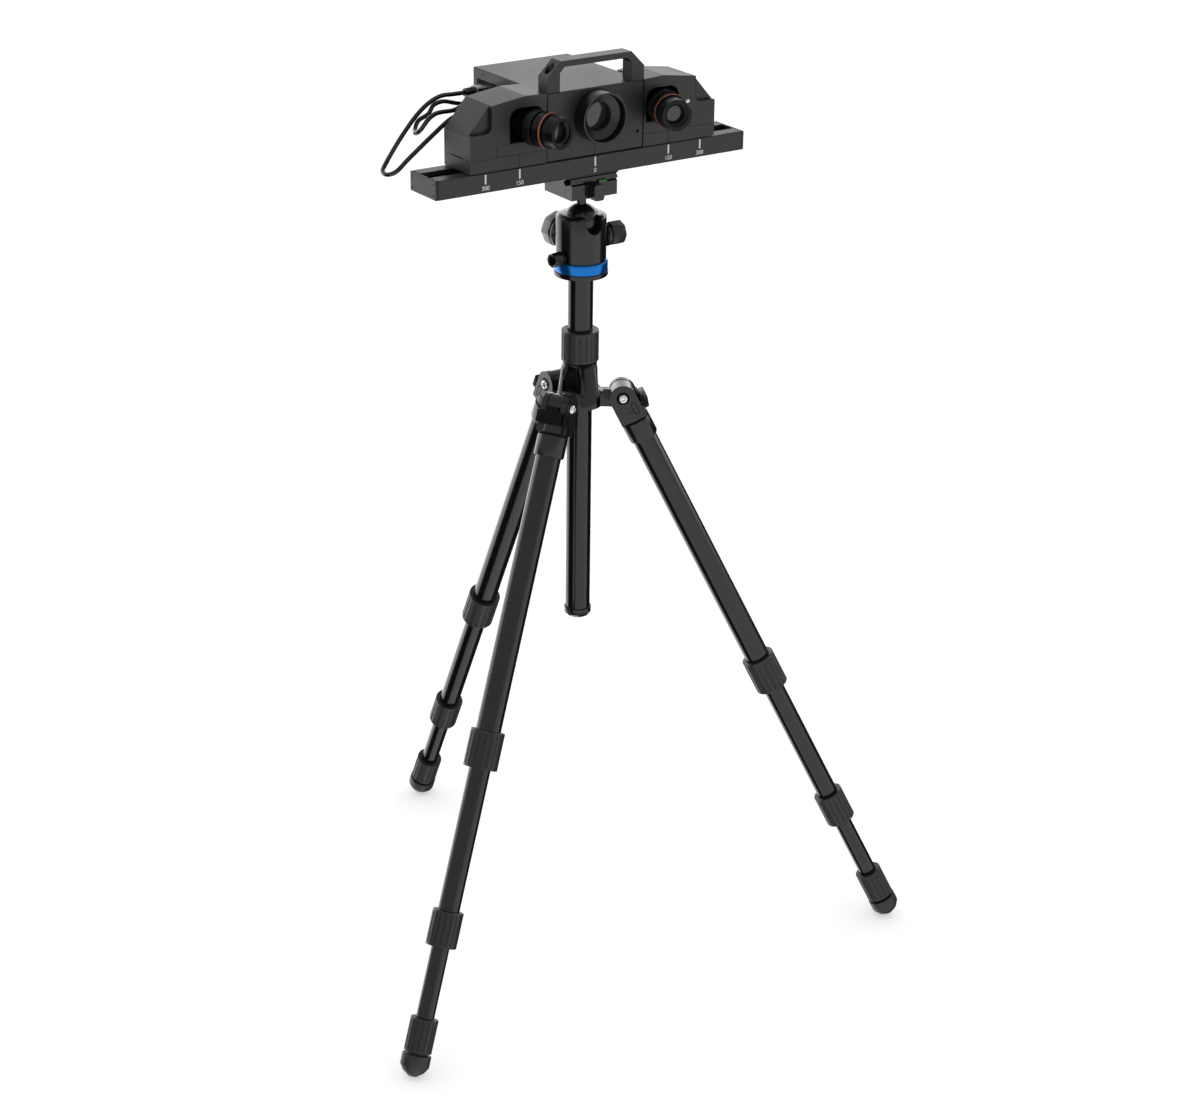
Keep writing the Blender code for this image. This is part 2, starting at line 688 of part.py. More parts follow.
    lower_end = FOOT_TOP + FOOT_SOCKET_DEPTH
    lower = tube(LOWER_TUBE_RADIUS, TUBE_WALL, LOWER_TUBE_LENGTH - lower_end, -lower_end)
    place(lower, "lower_tube_" + letter, leg, STAND_BLACK)
    place(build_foot(lower_end), "foot_" + letter, leg, GRIP_RUBBER)
    return leg


def build_foot(tube_end):
    core = rib_radii(FOOT_COLLAR_RADIUS)[-1]
    collar_end = FOOT_TOP + FOOT_COLLAR_LENGTH
    disc_top = collar_end + FOOT_NECK_LENGTH
    disc_end = disc_top + FOOT_DISC_LENGTH
    profile = [
        (LOWER_TUBE_RADIUS + GAP, -FOOT_TOP),
        (FOOT_COLLAR_RADIUS, -FOOT_TOP),
        (FOOT_COLLAR_RADIUS, -FOOT_TOP - COLLAR_RIM),
        (core, -FOOT_TOP - COLLAR_RIM),
        (core, -collar_end + COLLAR_RIM),
        (FOOT_COLLAR_RADIUS, -collar_end + COLLAR_RIM),
        (FOOT_COLLAR_RADIUS, -collar_end),
        (FOOT_NECK_RADIUS, -collar_end),
        (FOOT_NECK_RADIUS, -disc_top),
        (FOOT_DISC_RADIUS, -disc_top),
        (FOOT_DISC_RADIUS, -disc_end),
        (FOOT_TOE_RADIUS, -disc_end - FOOT_TIP_LENGTH / 2),
        (FOOT_TIP_RADIUS, -disc_end - FOOT_TIP_LENGTH),
        (0, -disc_end - FOOT_TIP_LENGTH),
    ]
    socket = [(0, -tube_end - GAP), (LOWER_TUBE_RADIUS + GAP, -tube_end - GAP)]
    foot = lathe(socket + profile, None, TUBE_STEPS)
    return join(foot, rib_band(FOOT_COLLAR_RADIUS, -FOOT_TOP, -collar_end))


def build_column():
    bottom = -COLUMN_DROP
    top = COLUMN_RISE + PLATFORM_THICK
    inner = COLUMN_RADIUS - COLUMN_WALL
    profile = [
        (0, top),
        (PLATFORM_RADIUS, top),
        (PLATFORM_RADIUS, COLUMN_RISE + COLUMN_WALL),
        (PLATFORM_RADIUS - COLUMN_WALL, COLUMN_RISE),
        (COLUMN_RADIUS, COLUMN_RISE),
        (COLUMN_RADIUS, bottom),
        (inner, bottom),
        (inner, COLUMN_RISE),
        (0, COLUMN_RISE),
    ]
    place(lathe(profile), "centre_column", column_axis, STAND_BLACK)

    plug = inner - GAP
    flange_top = bottom - GAP
    flange_end = flange_top - CAP_THICK
    cap_profile = [
        (0, flange_top + CAP_PLUG),
        (plug, flange_top + CAP_PLUG),
        (plug, flange_top),
        (CAP_RADIUS, flange_top),
        (CAP_RADIUS, flange_top - CAP_THICK / 3),
        (CAP_RADIUS - HOOK_WIRE, flange_top - CAP_THICK / 2),
        (CAP_RADIUS, flange_top - CAP_THICK * 2 / 3),
        (COLUMN_RADIUS - COLUMN_WALL, flange_end),
        (0, flange_end),
    ]
    cap = place(lathe(cap_profile), "column_cap", column_axis, STAND_BLACK)
    start = CAP_RADIUS - HOOK_WIRE * 3
    level = flange_top - CAP_THICK / 2
    route = [(start, level), (CAP_RADIUS + HOOK_REACH / 2, level)]
    route += arc((CAP_RADIUS + HOOK_REACH / 2, level + HOOK_REACH / 2), HOOK_REACH / 2, -math.pi / 2, 0, 4)[1:]
    route += [(CAP_RADIUS + HOOK_REACH, level + HOOK_HEIGHT)]
    turn = Matrix.Rotation(leg_direction(1), 4, "Z")
    wire = wire_along([(x, 0, z) for x, z in route], HOOK_WIRE, 1)
    wire.data.transform(turn)
    join(cap, wire)

    collar_low = HUB_TOP + GAP
    collar_high = collar_low + COLUMN_COLLAR_LENGTH
    bores = [
        (COLUMN_RADIUS + GAP, collar_high),
        (HUB_SLEEVE_RADIUS + GAP, HUB_SLEEVE_TOP + GAP),
    ]
    collar = ribbed_collar(COLUMN_COLLAR_RADIUS, collar_high, collar_low, bores)
    place(collar, "column_collar", shoulder, GRIP_RUBBER)


def wire_along(points, radius, resolution):
    curve = bpy.data.curves.new("wire", "CURVE")
    curve.dimensions = "3D"
    curve.bevel_depth = radius
    curve.bevel_resolution = resolution
    curve.use_fill_caps = True
    spline = curve.splines.new("POLY")
    spline.points.add(len(points) - 1)
    for point, place_at in zip(spline.points, points):
        point.co = (*place_at, 1)
    shape = bpy.data.objects.new("wire", curve)
    bpy.context.scene.collection.objects.link(shape)
    return bake(shape)


def facet_knob(radius, flange, length, stem_radius, stem_depth, stand=0):
    """Knob along local +Z: stem below zero, flange, then a grip with flats."""
    start = stand
    neck = radius * 0.8
    profile = [
        (0, start + flange + GAP),
        (neck, start + flange + GAP),
        (neck, start + flange * 0.7),
        (radius, start + flange * 0.7),
        (radius, start + flange * 0.25),
        (neck, start),
        (stem_radius, start),
        (stem_radius, -stem_depth),
        (0, -stem_depth),
    ]
    knob = lathe(profile, None, SMALL_STEPS)
    loop = ribbed_loop(radius, FACET_DEPTH, FACET_COUNT)
    grip = outline([loop], start + flange, start + flange + length)
    add_bevel(grip, FACET_DEPTH / 2)
    return bake(join(knob, bake(grip)))


def build_ball_head():
    ring_low = PAN_BOTTOM - PIVOT_HEIGHT
    ring = [
        (0, ring_low + PAN_RING_HEIGHT),
        (PAN_RING_RADIUS - RIB_DEPTH, ring_low + PAN_RING_HEIGHT),
        (PAN_RING_RADIUS, ring_low + PAN_RING_HEIGHT - RIB_DEPTH),
        (PAN_RING_RADIUS, ring_low),
        (0, ring_low),
    ]
    place(lathe(ring), "pan_ring", column_axis, BLUE)

    cavity = BALL_RADIUS + GAP
    centre = BALL_CENTRE - HOUSING_BOTTOM
    mouth = math.sqrt(cavity**2 - BALL_SINK**2)
    start = math.atan2(BALL_SINK, mouth)
    bowl = arc((0, centre), cavity, -math.pi / 2, start, 8)
    shell = [
        (HOUSING_RADIUS - HOUSING_CHAMFER, HOUSING_HEIGHT),
        (HOUSING_RADIUS, HOUSING_HEIGHT - HOUSING_CHAMFER),
        (HOUSING_RADIUS, 0),
        (0, 0),
    ]
    bowl[0] = (0, centre - cavity)
    housing = place(lathe(shell + bowl, None, ROUND_STEPS, closed=True), "ball_housing", pan_axis, STAND_BLACK)
    depth = HOUSING_RADIUS + OVERRUN
    notch = arc((0, centre), NOTCH_RADIUS, math.pi, 2 * math.pi, 8)
    notch += [(NOTCH_RADIUS, HOUSING_HEIGHT + OVERRUN), (-NOTCH_RADIUS, HOUSING_HEIGHT + OVERRUN)]
    cut(housing, outline([notch], NOTCH_RADIUS, depth, FRONT_VIEW))

    knob_level = centre - MAIN_KNOB_DROP
    low_level = PAN_KNOB_RISE
    knobs = (
        ("main_knob", math.pi / 2, knob_level, MAIN_KNOB_RADIUS, MAIN_FLANGE_LENGTH, MAIN_KNOB_LENGTH, 0),
        ("friction_knob", 0, knob_level, FRICTION_KNOB_RADIUS, FRICTION_FLANGE_LENGTH,
         FRICTION_KNOB_LENGTH, 0),
        ("pan_knob", PAN_KNOB_TURN, low_level, PAN_KNOB_RADIUS, PAN_KNOB_STAND,
         PAN_KNOB_LENGTH, PAN_KNOB_STAND),
    )
    for name, direction, level, radius, flange, length, stand in knobs:
        turn = Matrix.Rotation(direction, 4, "Z")
        aim = turn @ Matrix.Translation((HOUSING_RADIUS + GAP, 0, level)) @ Matrix.Rotation(math.pi / 2, 4, "Y")
        axis = empty(name + "_axis", pan_axis, aim)
        knob = facet_knob(radius, flange, length, KNOB_HOLE_RADIUS - GAP, KNOB_STEM_DEPTH, stand)
        place(knob, name, axis, GRIP_RUBBER)
        deep = KNOB_STEM_DEPTH + GAP
        cut(housing, cylinder(KNOB_HOLE_RADIUS, -deep, OVERRUN, aim))

    neck_angle = math.acos(NECK_RADIUS / BALL_RADIUS)
    ball_arc = arc((0, 0), BALL_RADIUS, neck_angle, -math.pi / 2, 12)
    ball_arc[-1] = (0, -BALL_RADIUS)
    stem_top = BALL_TO_CLAMP - GAP
    ball = lathe([(0, stem_top), (NECK_RADIUS, stem_top)] + ball_arc)
    place(ball, "ball", ball_axis, STAND_BLACK)


def dovetail_side(sign, wall):
    """Jaw side of the dovetail, from the floor up, as (y, z) from the clamp's bottom."""
    base = CLAMP_FLOOR + GAP
    return [
        (sign * (PLATE_FOOT + LIP_GROOVE / 2), CLAMP_FLOOR),
        (sign * (PLATE_FOOT + LIP_GROOVE / 2), base + PLATE_FOOT_TOP),
        (sign * (PLATE_WAIST + LIP_GROOVE / 2), base + PLATE_WAIST_HEIGHT),
        (sign * (PLATE_FLANGE + LIP_GROOVE / 2), base + PLATE_FLANGE_LOW + LIP_GROOVE / 2),
        (sign * wall, base + PLATE_FLANGE_LOW + LIP_GROOVE / 2),
    ]


def build_clamp():
    screw_level = CLAMP_KNOB_RISE
    across = Matrix.Rotation(math.pi / 2, 4, "X")
    rear = [(-CLAMP_SPLIT, 0), (CLAMP_BACK, 0)]
    rear += [(CLAMP_BACK, LIP_TOP)] + list(reversed(dovetail_side(1, JAW_SHOULDER))) + [(-CLAMP_SPLIT, CLAMP_FLOOR)]
    body = outline([rear], -CLAMP_HALF_LENGTH, CLAMP_HALF_LENGTH, SIDE_VIEW)
    place(body, "clamp_body", clamp_frame, STAND_BLACK)
    reach = CLAMP_SPLIT - CLAMP_SCREW_REACH
    hole = Matrix.Translation((0, 0, screw_level)) @ across
    cut(body, cylinder(CLAMP_SCREW_RADIUS + GAP, reach - GAP, CLAMP_SPLIT + OVERRUN, hole))

    split = -CLAMP_SPLIT - GAP
    front = [(split, 0), (split, CLAMP_FLOOR)] + dovetail_side(-1, JAW_SHOULDER)
    front += [(-JAW_SHOULDER - GAP, CLAMP_FLOOR + LIP_GROOVE), (-JAW_FRONT, CLAMP_FLOOR), (-JAW_FRONT, 0)]
    jaw = outline([front], -CLAMP_HALF_LENGTH, CLAMP_HALF_LENGTH, SIDE_VIEW)
    place(jaw, "clamp_jaw", clamp_frame, STAND_BLACK)
    cut(jaw, cylinder(CLAMP_SCREW_RADIUS + GAP, CLAMP_SPLIT - OVERRUN, JAW_FRONT + OVERRUN, hole))
    seat = Matrix.Translation((VIAL_PLACE, VIAL_SETBACK - JAW_FRONT, CLAMP_FLOOR + VIAL_LIFT))
    trough = seat @ Matrix.Rotation(math.pi / 2, 4, "Y")
    half = VIAL_LENGTH / 2
    cut(jaw, cylinder(VIAL_RADIUS + GAP, -half - GAP, half + GAP, trough))
    vial = cylinder(VIAL_RADIUS, -half, half, trough)
    place(vial, "level_vial", clamp_frame, GREEN)

    knob_axis = empty("clamp_knob_axis", clamp_frame, Matrix.Translation((0, -JAW_FRONT, screw_level)) @ across)
    side = CLAMP_KNOB_HALF_WIDTH - CLAMP_KNOB_CORNER
    tall = CLAMP_KNOB_HALF_HEIGHT - CLAMP_KNOB_CORNER
    wing = []
    for corner, (x, z) in enumerate(((side, tall), (-side, tall), (-side, -tall), (side, -tall))):
        start = corner * math.pi / 2
        wing += arc((x, z), CLAMP_KNOB_CORNER, start, start + math.pi / 2, 4)
    knob = outline([wing], GAP, GAP + CLAMP_KNOB_LENGTH)
    add_bevel(knob, CLAMP_KNOB_LENGTH / 10)
    knob = bake(knob)
    screw = cylinder(CLAMP_SCREW_RADIUS, reach - JAW_FRONT, CLAMP_KNOB_LENGTH / 2)
    place(knob, "clamp_knob", knob_axis, GRIP_RUBBER)
    join(knob, screw)

    low = CLAMP_FLOOR + GAP
    side = [
        (PLATE_FOOT, low),
        (PLATE_FOOT, low + PLATE_FOOT_TOP),
        (PLATE_WAIST, low + PLATE_WAIST_HEIGHT),
        (PLATE_FLANGE, low + PLATE_FLANGE_LOW + LIP_GROOVE),
        (PLATE_FLANGE, low + PLATE_THICK),
    ]
    section = side + [(-y, z) for y, z in reversed(side)]
    plate = outline([section], -PLATE_HALF_LENGTH, PLATE_HALF_LENGTH, SIDE_VIEW)
    place(plate, "quick_release_plate", clamp_frame, STAND_BLACK)


def build_rail():
    wide = RAIL_WIDTH / 2
    floor = RAIL_HEIGHT
    edge = RAIL_CHAMFER
    half = [
        (SLOT_HALF_WIDTH, 0),
        (wide - edge, 0),
        (wide, -edge),
        (wide, -floor + edge),
        (wide - edge, -floor),
    ]
    slot = [
        (-SLOT_HALF_WIDTH, -SLOT_LIP),
        (-SLOT_HALF_SPREAD, -SLOT_LIP),
        (-SLOT_HALF_SPREAD, -SLOT_DEPTH),
        (SLOT_HALF_SPREAD, -SLOT_DEPTH),
        (SLOT_HALF_SPREAD, -SLOT_LIP),
        (SLOT_HALF_WIDTH, -SLOT_LIP),
    ]
    section = half + [(-y, z) for y, z in reversed(half)] + slot
    rail = outline([section], -RAIL_LENGTH / 2, RAIL_LENGTH / 2, SIDE_VIEW)
    place(rail, "rail", rail_frame, ANODISED)
    for name, sign in (("rail_end_left", -1), ("rail_end_right", 1)):
        near = sign * (RAIL_LENGTH / 2 + GAP)
        far = near + sign * RAIL_END_THICK
        end = box((min(near, far), -wide, -floor), (max(near, far), wide, 0), RAIL_CHAMFER)
        place(bake(end), name, rail_frame, ANODISED)


def slot_key(centre, half_length):
    """T-shaped key that rides in the rail's slot, as one outline along X."""
    neck = SLOT_HALF_WIDTH - KEY_CLEARANCE
    foot = SLOT_HALF_SPREAD - KEY_CLEARANCE
    under = -SLOT_LIP - GAP
    floor = -SLOT_DEPTH + GAP
    top = MODULE_LIFT + CAMERA_WALL / 2
    half = [(neck, top), (neck, under), (foot, under), (foot, floor)]
    section = half + [(-y, z) for y, z in reversed(half)]
    section = list(reversed(section))
    return outline([section], centre - half_length, centre + half_length, SIDE_VIEW)


def inset_outline(points, distance):
    """Move each side of a convex clockwise or anticlockwise outline inwards."""
    count = len(points)
    area = sum(
        points[i][0] * points[(i + 1) % count][1] - points[(i + 1) % count][0] * points[i][1]
        for i in range(count)
    )
    sign = 1 if area > 0 else -1
    lines = []
    for i in range(count):
        a = Vector(points[i])
        b = Vector(points[(i + 1) % count])
        along = (b - a).normalized()
        inward = Vector((-along.y, along.x)) * sign
        lines.append((a + inward * distance, along))
    result = []
    for i in range(count):
        a, u = lines[i - 1]
        b, v = lines[i]
        cross = u.x * v.y - u.y * v.x
        step = ((b - a).x * v.y - (b - a).y * v.x) / cross
        corner = a + u * step
        result.append((corner.x, corner.y))
    return result


def lens_matrix(sign):
    """Lens frame: local +Z forwards along the toed-in axis, origin on the front plane."""
    aim = Matrix.Translation((sign * LENS_PLACE, MODULE_FRONT, LENS_HEIGHT))
    return aim @ Matrix.Rotation(-sign * LENS_TOE_IN, 4, "Z") @ Matrix.Rotation(math.pi / 2, 4, "X")


def add_gland(shape, root, tip):
    """Strain relief that a lead comes out of, ending a gap short of the lead."""
    tip = Vector(tip)
    out = (Vector(root) - tip).normalized()
    turn = out.to_track_quat("Z", "Y").to_matrix().to_4x4()
    sink = GLAND_LENGTH + CAMERA_WALL / 2
    reach = Matrix.Translation(tip + out * GAP) @ turn
    join(shape, cylinder(GLAND_RADIUS, 0, sink, reach))


def build_camera(sign, side):
    low = MODULE_LIFT
    points = [
        (sign * CAMERA_INNER, low),
        (sign * CAMERA_OUTER, low),
        (sign * CAMERA_OUTER, CAMERA_SIDE_HEIGHT),
        (sign * CAMERA_SHOULDER, CAMERA_SHOULDER_HEIGHT),
        (sign * CAMERA_CREST, CAMERA_CREST_HEIGHT),
        (sign * CAMERA_INNER, CAMERA_INNER_HEIGHT),
    ]
    slide = empty("camera_" + side + "_slide", rail_frame, Matrix.Identity(4))
    housing = outline([points], -CAMERA_BACK, -MODULE_FRONT, FRONT_VIEW)
    place(housing, "camera_housing_" + side, slide, ANODISED)

    inner = inset_outline(points, CAMERA_WALL)
    inner = [(x, max(z, CARRIAGE_HEIGHT)) for x, z in inner]
    front = -MODULE_FRONT
    deep = front - CAMERA_WALL - RECESS_DEPTH
    cut(housing, outline([inner], -CAMERA_BACK + CAMERA_WALL, deep, FRONT_VIEW))
    near, away = sorted((sign * (CAMERA_INNER + CAMERA_WALL), sign * (CAMERA_SHOULDER - CAMERA_WALL)))
    cut(housing, box(
        (near, MODULE_FRONT + CAMERA_WALL, CARRIAGE_HEIGHT),
        (away, -deep + OVERRUN, CAMERA_SHOULDER_HEIGHT - CAMERA_WALL),
    ))

    corner = RECESS_CORNER
    edge = CAMERA_SHOULDER + GAP
    far = CAMERA_OUTER + OVERRUN
    floor = RECESS_FLOOR_HEIGHT
    recess = [(far, floor), (far, CAMERA_SHOULDER_HEIGHT + OVERRUN), (edge, CAMERA_SHOULDER_HEIGHT + OVERRUN)]
    recess += arc((edge + corner, floor + corner), corner, math.pi, math.pi * 1.5, 6)
    recess = [(sign * x, z) for x, z in recess]
    cut(housing, outline([recess], front - RECESS_DEPTH, front + OVERRUN, FRONT_VIEW))

    bend = PORT_CORNER
    port = [(PORT_OUTER, PORT_BOTTOM)]
    port += arc((PORT_OUTER - bend, PORT_TOP - bend), bend, 0, math.pi / 2, 5)
    port += arc((PORT_INNER + bend, PORT_TOP - bend), bend, math.pi / 2, math.pi, 5)
    port += [(PORT_INNER, PORT_BOTTOM)]
    port = [(sign * x, z) for x, z in port]
    cut(housing, outline([port], front - CAMERA_WALL - OVERRUN, front + OVERRUN, FRONT_VIEW))

    axis = lens_matrix(sign)
    middle = axis @ Vector((0, 0, -(SENSOR_BACK + SENSOR_FRONT) / 2))
    seat = LENS_HEIGHT - SENSOR_HALF - GAP
    half = PEDESTAL_HALF
    pedestal = box(
        (middle.x - half, middle.y - half, CARRIAGE_HEIGHT - OVERRUN),
        (middle.x + half, middle.y + half, seat),
    )
    join(housing, pedestal)
    join(housing, slot_key(sign * CAMERA_INDEX, KEY_HALF_LENGTH))
    if side == "left":
        for route in (LONG_LEAD, SHORT_LEAD):
            x, y, z = route[-1]
            add_gland(housing, (x, 0, z), (x, y, z))

    lens = empty("lens_" + side + "_axis", slide, axis)
    barrel_profile = [
        (0, GLASS_SEAT),
        (GLASS_BORE, GLASS_SEAT),
        (GLASS_BORE, BARREL_CORE_END - (LENS_MOUTH - GLASS_BORE)),
        (LENS_MOUTH, BARREL_CORE_END),
        (BARREL_CORE_RADIUS, BARREL_CORE_END),
        (BARREL_CORE_RADIUS, BARREL_END),
        (BARREL_RADIUS - BARREL_GROOVE_DEPTH, BARREL_END),
        (BARREL_RADIUS - BARREL_GROOVE_DEPTH, BARREL_GROOVE_END),
        (BARREL_CORE_RADIUS + BARREL_GROOVE_DEPTH, BARREL_GROOVE_END),
        (BARREL_CORE_RADIUS + BARREL_GROOVE_DEPTH, BARREL_GROOVE_START),
        (BARREL_RADIUS, BARREL_GROOVE_START),
        (BARREL_RADIUS, BARREL_SHOULDER),
        (BARREL_ROOT_RADIUS, BARREL_ROOT_END),
        (BARREL_ROOT_RADIUS, -SENSOR_FRONT - GAP),
        (0, -SENSOR_FRONT - GAP),
    ]
    barrel = lathe(barrel_profile)
    place(barrel, "lens_barrel_" + side, lens, GRIP_RUBBER)
    sensor = box(
        (-SENSOR_HALF, -SENSOR_HALF, -SENSOR_BACK),
        (SENSOR_HALF, SENSOR_HALF, -SENSOR_FRONT),
    )
    join(barrel, sensor)

    ring_start = BARREL_END + GAP
    bore = BARREL_CORE_RADIUS + GAP
    focus_profile = [
        (FOCUS_RADIUS - RIB_DEPTH, FOCUS_END),
        (FOCUS_RADIUS, FOCUS_END - RIB_DEPTH),
        (FOCUS_RADIUS, ring_start + RING_LENGTH),
        (RING_RADIUS - RIB_DEPTH / 2, ring_start + RING_LENGTH),
        (RING_RADIUS, ring_start + RING_LENGTH / 2),
        (RING_RADIUS - RIB_DEPTH / 2, ring_start),
        (bore, ring_start),
        (bore, FOCUS_END - FOCUS_LIP),
        (FOCUS_MOUTH, FOCUS_END - FOCUS_LIP),
        (FOCUS_MOUTH, FOCUS_END),
    ]
    focus = place(lathe(focus_profile, closed=True), "focus_ring_" + side, lens, GRIP_RUBBER)
    screw_height = ring_start + RING_LENGTH / 2
    upward = Matrix.Translation((0, 0, screw_height)) @ Matrix.Rotation(-math.pi / 2, 4, "X")
    upward = Matrix.Rotation(-math.pi / 4, 4, "Z") @ upward
    root = RING_RADIUS - OVERRUN
    join(focus, cylinder(LOCK_SCREW_RADIUS, root, RING_RADIUS + LOCK_SCREW_REACH - OVERRUN, upward, 10))

    rim = GLASS_BORE - GAP
    seat = GLASS_SEAT + GAP
    glass_profile = [
        (0, seat + GLASS_THICK),
        (rim / 2, seat + GLASS_THICK - GLASS_CROWN / 4),
        (rim, seat + GLASS_THICK - GLASS_CROWN),
        (rim, seat),
        (0, seat),
    ]
    place(lathe(glass_profile, None, TUBE_STEPS), "lens_glass_" + side, lens, GLASS)


def build_projector():
    low = MODULE_LIFT
    half = CASE_HALF_WIDTH
    front = MODULE_FRONT
    case = box((-half, front, low), (half, CASE_BACK, CASE_HEIGHT), CASE_CORNER)
    case = place(bake(case), "projector_case", rail_frame, CASE_GREY)
    rear_edge = RAIL_WIDTH / 2 + GAP
    tail = box(
        (-half - OVERRUN, rear_edge, low - OVERRUN),
        (half + OVERRUN, CASE_BACK + OVERRUN, CASE_TAIL_LIFT),
    )
    cut(case, tail)
    wall = CASE_WALL
    cut(case, box(
        (-half + wall, front + wall, CASE_TAIL_LIFT + wall),
        (half - wall, CASE_BACK - wall, CASE_HEIGHT - wall),
    ))
    forward = Matrix.Translation((0, front, HOOD_HEIGHT)) @ Matrix.Rotation(math.pi / 2, 4, "X")
    cut(case, cylinder(HOOD_NECK_RADIUS + GAP, -wall - OVERRUN, OVERRUN, forward, FINE_STEPS))
    peep = Matrix.Translation((PEEPHOLE_PLACE, front, PEEPHOLE_HEIGHT)) @ Matrix.Rotation(math.pi / 2, 4, "X")
    cut(case, cylinder(PEEPHOLE_RADIUS, -wall * 2 / 3, OVERRUN, peep))
    join(case, slot_key(0, KEY_HALF_LENGTH))
    x, y, z = SHORT_LEAD[0]
    add_gland(case, (0, y, z), (x, y, z))

    mouth = HOOD_LENGTH + GAP
    lip = mouth - HOOD_MOUTH_DEPTH
    throat = mouth - HOOD_THROAT_DEPTH
    seat = mouth - PROJECTOR_GLASS_DEPTH - PROJECTOR_GLASS_THICK
    back = -HOOD_NECK_DEPTH
    hood_profile = [
        (HOOD_RADIUS, mouth),
        (HOOD_RADIUS, GAP),
        (HOOD_NECK_RADIUS, GAP),
        (HOOD_NECK_RADIUS, back),
        (PROJECTOR_BORE, back),
        (PROJECTOR_BORE, seat - GAP),
        (HOOD_THROAT, seat - GAP),
        (HOOD_THROAT, throat),
        (HOOD_MOUTH - RIB_DEPTH, lip),
        (HOOD_MOUTH, mouth),
    ]
    hood = place(lathe(hood_profile, forward, ROUND_STEPS, closed=True), "projector_hood", rail_frame, GRIP_RUBBER)
    rim = HOOD_THROAT - GAP
    glass_profile = [
        (0, seat + PROJECTOR_GLASS_THICK),
        (rim, seat + PROJECTOR_GLASS_THICK - GLASS_CROWN),
        (rim, seat),
        (0, seat),
    ]
    place(lathe(glass_profile, forward), "projector_glass", rail_frame, GLASS)

    top = CASE_HEIGHT + GAP
    crest = top + HANDLE_RISE
    outer = half
    inner = half - HANDLE_LEG
    left = [
        (-inner, top),
        (-outer, top),
        (-outer, crest - HANDLE_BEVEL),
        (-outer + HANDLE_BEVEL, crest),
    ]
    under = crest - HANDLE_BAR
    left_inner = [(-inner + HANDLE_INNER_BEVEL, under), (-inner, under - HANDLE_INNER_BEVEL)]
    loop = left + [(-x, z) for x, z in reversed(left)]
    loop += [(-x, z) for x, z in reversed(left_inner)] + left_inner
    handle = outline([loop], -front - HANDLE_DEPTH, -front, FRONT_VIEW)
    handle = place(handle, "handle", rail_frame, ANODISED)
    centre_y = front + HANDLE_DEPTH / 2
    for sign in (-1, 1):
        bore_x = sign * (outer - HANDLE_BEVEL / 2)
        at = Matrix.Translation((bore_x, centre_y, 0))
        cut(handle, cylinder(HANDLE_HOLE_RADIUS, top + HANDLE_HOLE_FLOOR, crest + OVERRUN, at))


def smooth_route(points, pitch):
    """Points on one smooth curve through the route, evenly spaced."""
    dense = []
    last = len(points) - 1
    for i in range(last):
        p0 = Vector(points[max(i - 1, 0)])
        p1 = Vector(points[i])
        p2 = Vector(points[i + 1])
        p3 = Vector(points[min(i + 2, last)])
        for step in range(12):
            t = step / 12
            dense.append(
                ((p1 * 2) + (p2 - p0) * t + (p0 * 2 - p1 * 5 + p2 * 4 - p3) * t**2
                 + (p1 * 3 - p0 - p2 * 3 + p3) * t**3) / 2
            )
    dense.append(Vector(points[last]))
    lengths = [0]
    for a, b in zip(dense, dense[1:]):
        lengths.append(lengths[-1] + (b - a).length)
    result = []
    j = 0
    count = round(lengths[-1] / pitch) + 1
    for k in range(count):
        target = lengths[-1] * k / (count - 1)
        while j < len(dense) - 2 and lengths[j + 1] < target:
            j += 1
        share = (target - lengths[j]) / (lengths[j + 1] - lengths[j])
        result.append(dense[j].lerp(dense[j + 1], share))
    return result, lengths[-1]


def build_leads():
    y, z = PLUG_PLACE
    start = -CASE_HALF_WIDTH - GAP
    shell_end = start - PLUG_SHELL[0]
    body_end = shell_end - PLUG_BODY[0]
    shell = box(
        (shell_end - GAP, y - PLUG_SHELL[1] / 2, z - PLUG_SHELL[2] / 2),
        (start, y + PLUG_SHELL[1] / 2, z + PLUG_SHELL[2] / 2),
    )
    body = box(
        (body_end, y - PLUG_BODY[1] / 2, z - PLUG_BODY[2] / 2),
        (shell_end, y + PLUG_BODY[1] / 2, z + PLUG_BODY[2] / 2),
        PLUG_BODY[2] / 8,
    )
    plug = place(bake(body), "plug_left", rail_frame, STEEL)
    join(plug, shell)
    tail = Matrix.Translation((body_end, y, z)) @ Matrix.Rotation(-math.pi / 2, 4, "Y")
    join(plug, cylinder(PLUG_TAIL_RADIUS, -GAP, PLUG_TAIL_LENGTH, tail))
    for name, route in (("long_lead", LONG_LEAD), ("short_lead", SHORT_LEAD)):
        points, length = smooth_route(route[1:-1], LEAD_STEP)
        points = [Vector(route[0]), *points, Vector(route[-1])]
        print(name, "length", round(length + LEAD_STUB * 2, 4))
        place(wire_along(points, LEAD_RADIUS, 2), name, rail_frame, LEAD_BLACK)


build_spider()
for leg_index in range(LEG_COUNT):
    build_leg(leg_index)
build_column()
build_ball_head()
build_clamp()
build_rail()
build_camera(-1, "left")
build_camera(1, "right")
build_projector()
build_leads()


def centre_on_base():
    """Put the origin under the middle of the object's box, leads left out."""
    bpy.context.view_layer.update()
    graph = bpy.context.evaluated_depsgraph_get()
    low = Vector((math.inf,) * 3)
    high = Vector((-math.inf,) * 3)
    for shape in scanner_parts.objects:
        if shape.type != "MESH" or shape.name.endswith("_lead") or shape.name == "plug_left":
            continue
        solid = shape.evaluated_get(graph)
        for vertex in solid.data.vertices:
            point = solid.matrix_world @ vertex.co
            low = Vector(map(min, low, point))
            high = Vector(map(max, high, point))
    origin.location = (-(low.x + high.x) / 2, -(low.y + high.y) / 2, -low.z)
    bpy.context.view_layer.update()
    print("size", [round(v, 4) for v in high - low], "origin moved", [round(v, 5) for v in origin.location])


centre_on_base()
